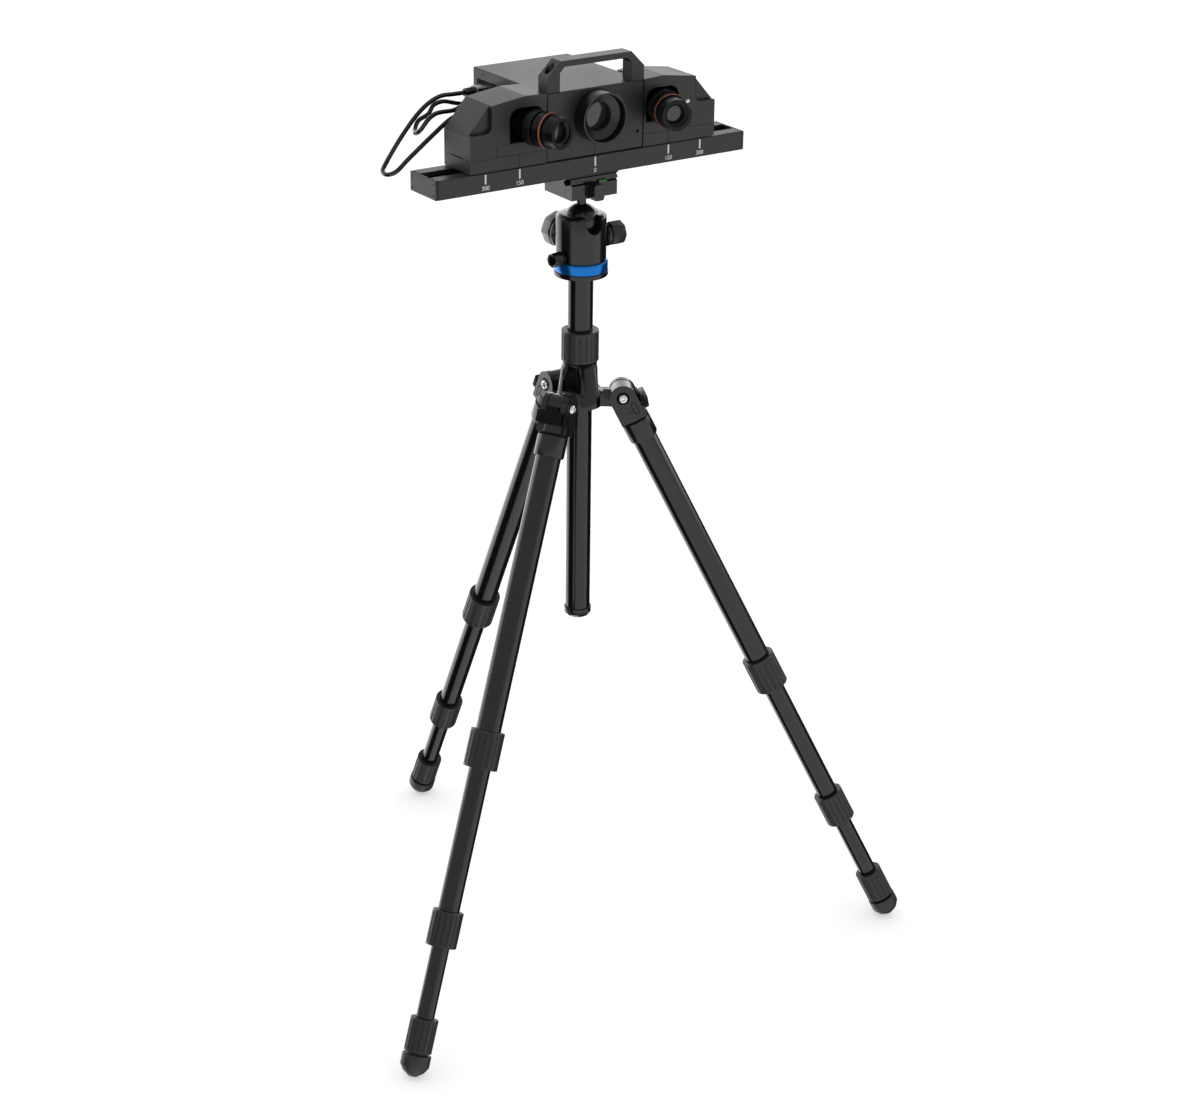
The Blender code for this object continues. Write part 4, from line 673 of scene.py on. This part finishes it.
for side, direction in LOCK_DIRECTIONS.items():
    body = "camera_" + side
    ring = "focus_" + side
    joint = joints[f"focus_{side}_turn"]
    axis = Vector(joint["axis"]).normalized()
    origin = Vector(joint["pos_m"])
    lens = along(origin, axis)
    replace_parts(turned("barrel_" + side, BARREL_PROFILE, BARREL, body, lens, 96), "lens_barrel_" + side)
    slab(
        "camera_body_" + side,
        (-SENSOR_HALF, -SENSOR_HALF, SENSOR_BACK), (SENSOR_HALF, SENSOR_HALF, SENSOR_FRONT),
        0.0006, BARREL, body, lens,
    )
    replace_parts(turned("focus_" + side, FOCUS_PROFILE, BARREL, ring, lens, 96), "focus_ring_" + side)
    turned("orange_band_" + side, BAND_PROFILE, ORANGE, ring, lens, 96)
    glass = turned("front_glass_" + side, GLASS_PROFILE, LENS_GLASS, body, lens, 64)
    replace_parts(glass, "lens_glass_" + side)
    outward = Vector(direction)
    outward = (outward - axis * outward.dot(axis)).normalized()
    screw = along(origin + axis * LOCK_HEIGHT, outward)
    turned("lock_screw_" + side, LOCK_PROFILE, BRIGHT, ring, screw, 24)

# Projector hood
HOOD_HEIGHT = 0.0440
HOOD_PROFILE = (
    (0.0274, 0.0185), (0.0277, 0.0182), (0.0277, 0.0006), (0.0274, 0.0003), (0.0245, 0.0003),
    (0.0245, -0.0085), (0.0135, -0.0085), (0.0135, -0.0053), (0.0158, -0.0053), (0.0158, 0.0057),
    (0.0161, 0.0060), (0.0246, 0.0088), (0.0249, 0.0091), (0.0258, 0.0183), (0.0260, 0.0185),
)
hood_axis = along((RAIL.x, RAIL_FRONT, RAIL.z + HOOD_HEIGHT), (0, -1, 0))
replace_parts(turned("hood_ring", HOOD_PROFILE, HOOD, "scanner", hood_axis, 128), "projector_hood")

# Ball head: ring, housing with its bowl, notch and stem holes, knobs and ball
PAN_PROFILE = (
    (0, 0.0117), (0.0288, 0.0117), (0.0294, 0.0114), (0.0297, 0.0108), (0.0297, 0.0006), (0.0294, 0),
    (0, 0),
)
HOUSING_HEIGHT = 0.0522
BALL_HEIGHT = 0.0432
BALL_SINK = 0.009
BALL_RADIUS = 0.020
NECK_RADIUS = 0.0052
NECK_TOP = 0.0311
CAVITY = 0.0203
BOWL_STEPS = 14
ROUND_STEPS = 24
NOTCH_RADIUS = 0.010
NOTCH_TOP = 0.060
NOTCH_START = 0.010
NOTCH_END = 0.032
STEM_HOLE_RADIUS = 0.0043
STEM_HOLE_LENGTH = 0.016
STEM_HOLE_SHIFT = 0.0021
ring_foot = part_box("pan_ring")[0].z
head_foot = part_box("ball_housing")[0].z
ring_matrix = Matrix.Translation((COLUMN.x, COLUMN.y, ring_foot))
head_matrix = Matrix.Translation((COLUMN.x, COLUMN.y, head_foot))
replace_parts(turned("blue_ring", PAN_PROFILE, BLUE, "column", ring_matrix, 96), "pan_ring")

housing = [(0, BALL_HEIGHT - CAVITY)]
rim_angle = math.asin(BALL_SINK / CAVITY)
for step in range(1, BOWL_STEPS + 1):
    angle = -math.pi / 2 + (rim_angle + math.pi / 2) * step / BOWL_STEPS
    housing.append((max(CAVITY * math.cos(angle), 0), BALL_HEIGHT + CAVITY * math.sin(angle)))
housing += [(0.0190, HOUSING_HEIGHT), (0.0239, HOUSING_HEIGHT), (0.0247, 0.0519), (0.0275, 0.0491)]
housing += [(0.0278, 0.0484), (0.0278, 0.0004), (0.0275, 0), (0, 0)]
notch = []
for step in range(ROUND_STEPS + 1):
    angle = math.pi + math.pi * step / ROUND_STEPS
    notch.append((NOTCH_RADIUS * math.cos(angle), BALL_HEIGHT + NOTCH_RADIUS * math.sin(angle)))
notch += [(NOTCH_RADIUS, NOTCH_TOP), (-NOTCH_RADIUS, NOTCH_TOP)]
to_front = head_matrix @ Matrix.Rotation(-math.pi / 2, 4, "Z")
cutters = [prism(notch, NOTCH_START, NOTCH_END, to_front)]
for knob in ("main_knob", "friction_knob", "pan_knob"):
    joint = joints[knob + "_turn"]
    axis = Vector(joint["axis"])
    hole = along(Vector(joint["pos_m"]) + axis * STEM_HOLE_SHIFT, axis)
    cutters.append(peg(STEM_HOLE_RADIUS, STEM_HOLE_LENGTH, hole))
shell = turned("head_shell", housing, CAST, "head", head_matrix, 96)
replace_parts(carve(shell, *cutters), "ball_housing")

# Name, radius, flange, grip length and stand of each knob
KNOBS = (
    ("main_knob", 0.0198, 0.0075, 0.0155, 0),
    ("friction_knob", 0.0134, 0.0075, 0.0170, 0),
    ("pan_knob", 0.0082, 0.0030, 0.0115, 0.0030),
)
FLAT_COUNT = 8
FLAT_NOTCH = 0.0005
KNOB_NECK_SHARE = 0.8
KNOB_HOLLOW_SHARE = 0.62
KNOB_FLANGE_SHARE = 0.97
FLANGE_EDGE_SHARE = 0.3
FLANGE_STEP_SHARE = 0.35
HOLLOW_DEPTH = 0.0060
STEM_RADIUS = 0.0036
STEM_COLLAR = 0.0039
STEM_END = -0.0055
for name, radius, flange, length, stand in KNOBS:
    joint = joints[name + "_turn"]
    matrix = along(Vector(joint["pos_m"]), joint["axis"])
    start = stand + flange
    end = start + length
    neck = radius * KNOB_NECK_SHARE
    hollow = radius * KNOB_HOLLOW_SHARE
    wide = radius * KNOB_FLANGE_SHARE
    edge = FLANGE_EDGE_SHARE * flange
    waist = [(neck, start), (neck, start - edge), (wide, start - FLANGE_STEP_SHARE * flange)]
    waist += [(wide, stand + edge), (neck, stand), (STEM_COLLAR, stand), (STEM_COLLAR, STEM_END)]
    if name == "pan_knob":
        face = [(hollow - 0.0004, end - HOLLOW_DEPTH)]
        face += [(hollow, end - 0.0012), (hollow + 0.0004, end - 0.0006)]
        stem = [(STEM_RADIUS, STEM_END), (STEM_RADIUS, end - HOLLOW_DEPTH)]
    else:
        face = [(STEM_RADIUS, end - 0.0010), (hollow, end - 0.0010), (hollow + 0.0004, end - 0.0002)]
        stem = [(STEM_RADIUS, STEM_END), (STEM_RADIUS, end - 0.0030)]
    grip = [
        (radius - 0.0012, end), (radius - 0.0003, end - 0.0007), (radius, end - 0.0016),
        (radius, start + 0.0008), (radius - 0.0006, start),
    ]
    profile = face + grip + waist + stem
    level = flats(FLAT_COUNT, FLAT_NOTCH)
    piece = ribbed(name + "_grip", profile, (3, 4, 5, 6, 7), FLAT_COUNT, level, KNOB, name, matrix)
    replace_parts(piece, name)

ball_centre = Vector(joints["ball_tilt"]["pos_m"])
neck_angle = math.acos(NECK_RADIUS / BALL_RADIUS)
ball = [(0, NECK_TOP), (NECK_RADIUS, NECK_TOP)]
for step in range(ROUND_STEPS):
    angle = neck_angle - (neck_angle + math.pi / 2) * step / ROUND_STEPS
    ball.append((BALL_RADIUS * math.cos(angle), BALL_RADIUS * math.sin(angle)))
ball.append((0, -BALL_RADIUS))
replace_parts(turned("ball_smooth", ball, CAST, "clamp", Matrix.Translation(ball_centre), 64), "ball")

# Centre column with its platform, and the twist collar, from the legs' pivots
COLUMN_RADIUS = 0.0140
COLUMN_BORE = 0.0125
PLATFORM_THICK = 0.0055
pivot = Vector(joints["leg_a_fold"]["pos_m"]).z
top = column_high.z - pivot
bottom = column_low.z - pivot
under = top - PLATFORM_THICK
column = [
    (0, top), (0.0299, top), (0.0302, top - 0.0003), (0.0302, top - 0.0040),
    (0.0296, top - 0.0051), (0.0287, under), (COLUMN_RADIUS, under), (COLUMN_RADIUS, bottom),
    (COLUMN_BORE, bottom), (COLUMN_BORE, under), (0, under),
]
centre = Matrix.Translation((COLUMN.x, COLUMN.y, pivot))
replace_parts(turned("column_tube", column, TUBE, "column", centre, 96), "centre_column")


def twist_lock(name, node, body, matrix, radius, top, bottom, bores, count=18):
    """Twist lock: plain rims, a ribbed band and a stepped bore, on the node's own axis."""
    edge = 0.0005
    rim = 0.0032
    wide = radius - 0.0001
    profile = [
        (wide - edge, top), (wide, top - edge), (wide, top - rim), (wide, top - rim - 0.0003),
        (wide, bottom + rim + 0.0003), (wide, bottom + rim), (wide, bottom + edge),
        (wide - edge, bottom),
    ]
    level = bottom
    for bore, start in reversed(bores):
        profile += [(bore, level), (bore, start)]
        level = start
    piece = ribbed(name, profile, (3, 4), count, grooves(GROOVE_DEPTH), RUBBER, body, matrix)
    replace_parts(piece, node)


twist_lock(
    "collar_grip", "column_collar", "column_collar", centre, 0.0211, 0.0770, 0.0420,
    ((0.0143, 0.0770), (0.0171, 0.0655)), count=20,
)

# Legs: smooth tubes, ribbed locks and feet, bolts with a socket, heights from the leg's pivot
TUBE_WALL = 0.0012
TUBES = (
    ("upper_tube_", "leg_", 0.0142, -0.0223, -0.3847),
    ("mid_tube_", "mid_", 0.0122, -0.2872, -0.5872),
    ("lower_tube_", "lower_", 0.0103, -0.4455, -0.7055),
)
LOCKS = (
    ("upper_", 0.0193, -0.3660, -0.4085, ((0.0145, -0.3660), (0.0125, -0.3850))),
    ("lower_", 0.0175, -0.5696, -0.6096, ((0.0125, -0.5696), (0.0106, -0.5875))),
)
FOOT_PROFILE = (
    (0.0106, -0.6908), (0.0152, -0.6908), (0.0157, -0.6913), (0.0157, -0.6940), (0.0157, -0.6943),
    (0.0157, -0.7250), (0.0157, -0.7253), (0.0157, -0.7280), (0.0152, -0.7285), (0.0106, -0.7285),
)
TOE_PROFILE = (
    (0, -0.7058), (0.0106, -0.7058), (0.0106, -0.7284), (0.0117, -0.7284), (0.0117, -0.7315),
    (0.0161, -0.7315), (0.0164, -0.7319), (0.0164, -0.7440), (0.0160, -0.7448), (0.0125, -0.7503),
    (0.0050, -0.7560), (0, -0.7560),
)
BOLT_HALF = [
    (0, 0.0164), (0.0021, 0.0164), (0.0021, 0.0182), (0.0026, 0.0187), (0.0038, 0.0184),
    (0.0048, 0.0175), (0.0054, 0.0160), (0.0054, 0.0158), (0.0040, 0.0158),
]
BOLT_PROFILE = BOLT_HALF + [(radius, -height) for radius, height in reversed(BOLT_HALF)]
SLEEVE_PROFILE = (
    (0.0163, -0.0326), (0.0170, -0.0332), (0.0170, -0.0545), (0.0163, -0.0562), (0.0158, -0.0562),
    (0.0158, -0.0326),
)
# Painted shadow: a dark band round the leg where the head's casting ends.
SHADOW_BAND_PROFILE = ((0.0168, -0.0302), (0.0168, -0.0327), (0.0160, -0.0327), (0.0160, -0.0302))
KNUCKLE_PROFILE = (
    (0, 0.0086), (0.0143, 0.0086), (0.0146, 0.0083),
    (0.0146, -0.0083), (0.0143, -0.0086), (0, -0.0086),
)
# Painted shade: a thin dark ring round each bolt on the cheek, for the shaded recess round its boss.
SHADE_RING_PROFILE = ((0.0074, 0.0002), (0.0074, -0.0004), (0.0054, -0.0004), (0.0054, 0.0002))
CHEEK_FACE = 0.0155
SLOT_WIRE = 0.00045
SLOT_END = 0.0026
SLOT_HALF = 0.0044
SLOT_PLACE = (0.0072, -0.0165)
GRIP_CORNERS = ((0.0168, -0.0150, -0.0215), (0.0228, 0.0150, -0.0065))
BAR_CORNERS = ((0.0151, -0.0082, -0.0140), (0.0175, 0.0082, -0.0015))


def cheek_slot_shade_line(sign):
    """Outline of the slot in a leg head's cheek: two half circles and straight sides, drawn as a dark
    line of painted shade.
    """
    outline = []
    for step in range(24):
        angle = 2 * math.pi * step / 24
        lift = SLOT_HALF if math.sin(angle) > 0 else -SLOT_HALF
        out = SLOT_PLACE[0] + SLOT_END * math.cos(angle)
        outline.append((out, sign * CHEEK_FACE, SLOT_PLACE[1] + lift + SLOT_END * math.sin(angle)))
    return outline


for letter in LEGS:
    fold = joints[f"leg_{letter}_fold"]
    across = Vector(fold["axis"]).normalized()
    hinge = Vector(fold["pos_m"])
    down = Vector(joints[f"mid_{letter}_slide"]["axis"]).normalized()
    out = Vector(joints[f"stop_{letter}_pull"]["axis"]).normalized()
    leg = Matrix((out, (-down).cross(out), -down)).transposed().to_4x4()
    leg.translation = hinge
    body = "leg_" + letter
    foot = "foot_" + letter
    for name, carrier, radius, top, bottom in TUBES:
        inside = radius - TUBE_WALL
        tube = [(radius, top), (radius, bottom), (inside, bottom), (inside, top)]
        piece = turned(name + "smooth_" + letter, tube, TUBE, carrier + letter, leg, 64)
        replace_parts(piece, name + letter)
    for name, radius, top, bottom, bores in LOCKS:
        node = name + "lock_" + letter
        twist_lock(name + "grip_" + letter, node, node, leg, radius, top, bottom, bores)
    level = grooves(GROOVE_DEPTH)
    piece = ribbed("foot_grip_" + letter, FOOT_PROFILE, (4, 5), 16, level, FOOT, foot, leg)
    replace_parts(piece, foot)
    turned("foot_toe_" + letter, TOE_PROFILE, FOOT, foot, leg, 64)
    piece = turned("bolt_" + letter, BOLT_PROFILE, BRIGHT, "stand", along(hinge, across), 36)
    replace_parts(piece, "hinge_bolt_" + letter)
    turned("sleeve_" + letter, SLEEVE_PROFILE, CAST, body, leg, 64)
    # Painted shadow band where the casting ends.
    turned("sleeve_shadow_band_" + letter, SHADOW_BAND_PROFILE, SEAM_AND_SHADE, body, leg, 64)
    turned("knuckle_" + letter, KNUCKLE_PROFILE, CAST, "stand", along(hinge, across), 64)
    for index, sign in enumerate((-1, 1)):
        cheek = along(hinge + across * sign * CHEEK_FACE, across * sign)
        # Painted shade ring round the bolt, and painted shade lines round the cheek slot.
        turned(f"bolt_shade_ring_{letter}_{index}", SHADE_RING_PROFILE, SEAM_AND_SHADE, body, cheek, 40)
        outline = [leg @ Vector(point) for point in cheek_slot_shade_line(sign)]
        # Painted shade: a dark line round each cheek slot, where shade falls at its edges.
        wire(f"cheek_slot_shade_line_{letter}_{index}", outline, SLOT_WIRE, SEAM_AND_SHADE, body, 1, cyclic=True)
    grip = slab("stop_grip_" + letter, *GRIP_CORNERS, 0.0012, STOP, "stop_" + letter, leg)
    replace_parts(grip, "angle_stop_" + letter)
    slab("stop_bar_" + letter, *BAR_CORNERS, 0.0006, STOP, "stop_" + letter, leg)

# Shoulder: an arched pocket above each arm
ARCH_FOOT = ((-0.0125, 0.0085), (0.0125, 0.0085), (0.0085, 0.0270), (0.0060, 0.0350))
ARCH_HALF = 0.0060
ARCH_SPRING = 0.0350
ARCH_RISE = 0.0035
POCKET_START = 0.0160
POCKET_END = 0.0320
arch = list(ARCH_FOOT)
for step in range(1, 8):
    angle = math.pi * step / 8
    arch.append((ARCH_HALF * math.cos(angle), ARCH_SPRING + ARCH_RISE * math.sin(angle)))
arch += [(-ARCH_HALF, ARCH_SPRING), (-0.0085, 0.0270)]
pockets = []
for letter in LEGS:
    fold = joints[f"leg_{letter}_fold"]
    reach = Vector(fold["pos_m"]) - Vector((COLUMN.x, COLUMN.y, pivot))
    turn = Matrix.Rotation(math.atan2(reach.y, reach.x), 4, "Z")
    pockets.append(prism(arch, POCKET_START, POCKET_END, centre @ turn))
spider = nodes["spider"]
shoulder = spider.data.copy()
shoulder.materials.clear()
hub = solid("hub", shoulder, CAST, "stand", spider.matrix_world)
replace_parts(carve(hub, *pockets), "spider")


# Floor and light: levels of the soft boxes, and where each starts and ends round the object
FLOOR_REACH = 14
FLOOR_LIFT = 0.4
FRONT_BOX = 1.42
LEFT_BOX = 2.4
DARK_LEVEL = 0.03
BACK_GLOW = 3.2
TOP_LEVEL = 0.78
FRONT_START_DEGREES = (-52, -42)
FRONT_END_DEGREES = (94, 104)
LEFT_DEGREES = (-97, -107)
BACK_EDGES = (0.1, -0.5)
GLOW_EDGES = (0.48, 0.14)
ABOVE_EDGES = (-0.02, 0.12)


def add_floor():
    mesh = bpy.data.meshes.new("floor")
    corners = [(-1, -1), (1, -1), (1, 1), (-1, 1)]
    mesh.from_pydata([(x * FLOOR_REACH, y * FLOOR_REACH, 0) for x, y in corners], [], [(0, 1, 2, 3)])
    material, tree, shader = shader_tree("floor_white")
    shader.inputs["Base Color"].default_value = (0.93, 0.93, 0.93, 1)
    shader.inputs["Roughness"].default_value = 0.9
    shader.inputs["Specular IOR Level"].default_value = 0.0
    shader.inputs["Emission Color"].default_value = (1, 1, 1, 1)
    path = tree.nodes.new("ShaderNodeLightPath")
    lift = tree.nodes.new("ShaderNodeMath")
    lift.operation = "MULTIPLY"
    lift.inputs[1].default_value = FLOOR_LIFT
    tree.links.new(path.outputs["Is Camera Ray"], lift.inputs[0])
    tree.links.new(lift.outputs[0], shader.inputs["Emission Strength"])
    mesh.materials.append(material)
    floor = link(bpy.data.objects.new("floor", mesh))
    floor.visible_glossy = False


def add_sky():
    """Even white for the camera; for reflections, soft boxes round the object."""
    world = bpy.data.worlds.new("studio")
    bpy.context.scene.world = world
    world.use_nodes = True
    tree = world.node_tree
    tree.nodes.clear()
    new = tree.nodes.new
    join = tree.links.new

    def maths(operation, *values):
        node = new("ShaderNodeMath")
        node.operation = operation
        for socket, value in zip(node.inputs, values):
            if isinstance(value, (int, float)):
                socket.default_value = value
            else:
                join(value, socket)
        return node.outputs[0]

    def blend(share, one, other):
        rest = maths("SUBTRACT", 1.0, share)
        return maths("ADD", maths("MULTIPLY", share, one), maths("MULTIPLY", rest, other))

    def step(value, start, end, low=0.0, high=1.0):
        node = new("ShaderNodeMapRange")
        node.interpolation_type = "SMOOTHSTEP"
        for key, number in zip(("From Min", "From Max", "To Min", "To Max"), (start, end, low, high)):
            node.inputs[key].default_value = number
        join(value, node.inputs["Value"])
        return node.outputs[0]

    def dot(direction):
        node = new("ShaderNodeVectorMath")
        node.operation = "DOT_PRODUCT"
        join(coords.outputs["Generated"], node.inputs[0])
        node.inputs[1].default_value = direction
        return node.outputs["Value"]

    coords = new("ShaderNodeTexCoord")
    near = dot(TO_CAMERA)
    right = dot(TO_RIGHT)
    height = dot((0, 0, 1))
    angle = maths("ARCTAN2", right, near)
    front = maths(
        "MULTIPLY",
        step(angle, *map(math.radians, FRONT_START_DEGREES)),
        step(angle, *map(math.radians, FRONT_END_DEGREES), 1.0, 0.0),
    )
    left = step(angle, *map(math.radians, LEFT_DEGREES))
    boxes = maths("ADD", maths("MULTIPLY", front, FRONT_BOX), maths("MULTIPLY", left, LEFT_BOX))
    boxes = maths("ADD", boxes, DARK_LEVEL)
    glow = maths("ADD", maths("MULTIPLY", step(height, *GLOW_EDGES), BACK_GLOW), TOP_LEVEL)
    upper = blend(step(near, *BACK_EDGES), glow, TOP_LEVEL)
    light = blend(step(height, *ABOVE_EDGES), upper, boxes)
    studio = new("ShaderNodeBackground")
    join(light, studio.inputs["Strength"])
    plain = new("ShaderNodeBackground")
    plain.inputs["Color"].default_value = (1, 1, 1, 1)
    plain.inputs["Strength"].default_value = 1.0
    path = new("ShaderNodeLightPath")
    mix = new("ShaderNodeMixShader")
    join(path.outputs["Is Camera Ray"], mix.inputs["Fac"])
    join(studio.outputs["Background"], mix.inputs[1])
    join(plain.outputs["Background"], mix.inputs[2])
    output = new("ShaderNodeOutputWorld")
    join(mix.outputs["Shader"], output.inputs["Surface"])


add_floor()
add_sky()
bpy.context.scene.view_settings.view_transform = "Standard"
bpy.context.scene.view_settings.look = "None"
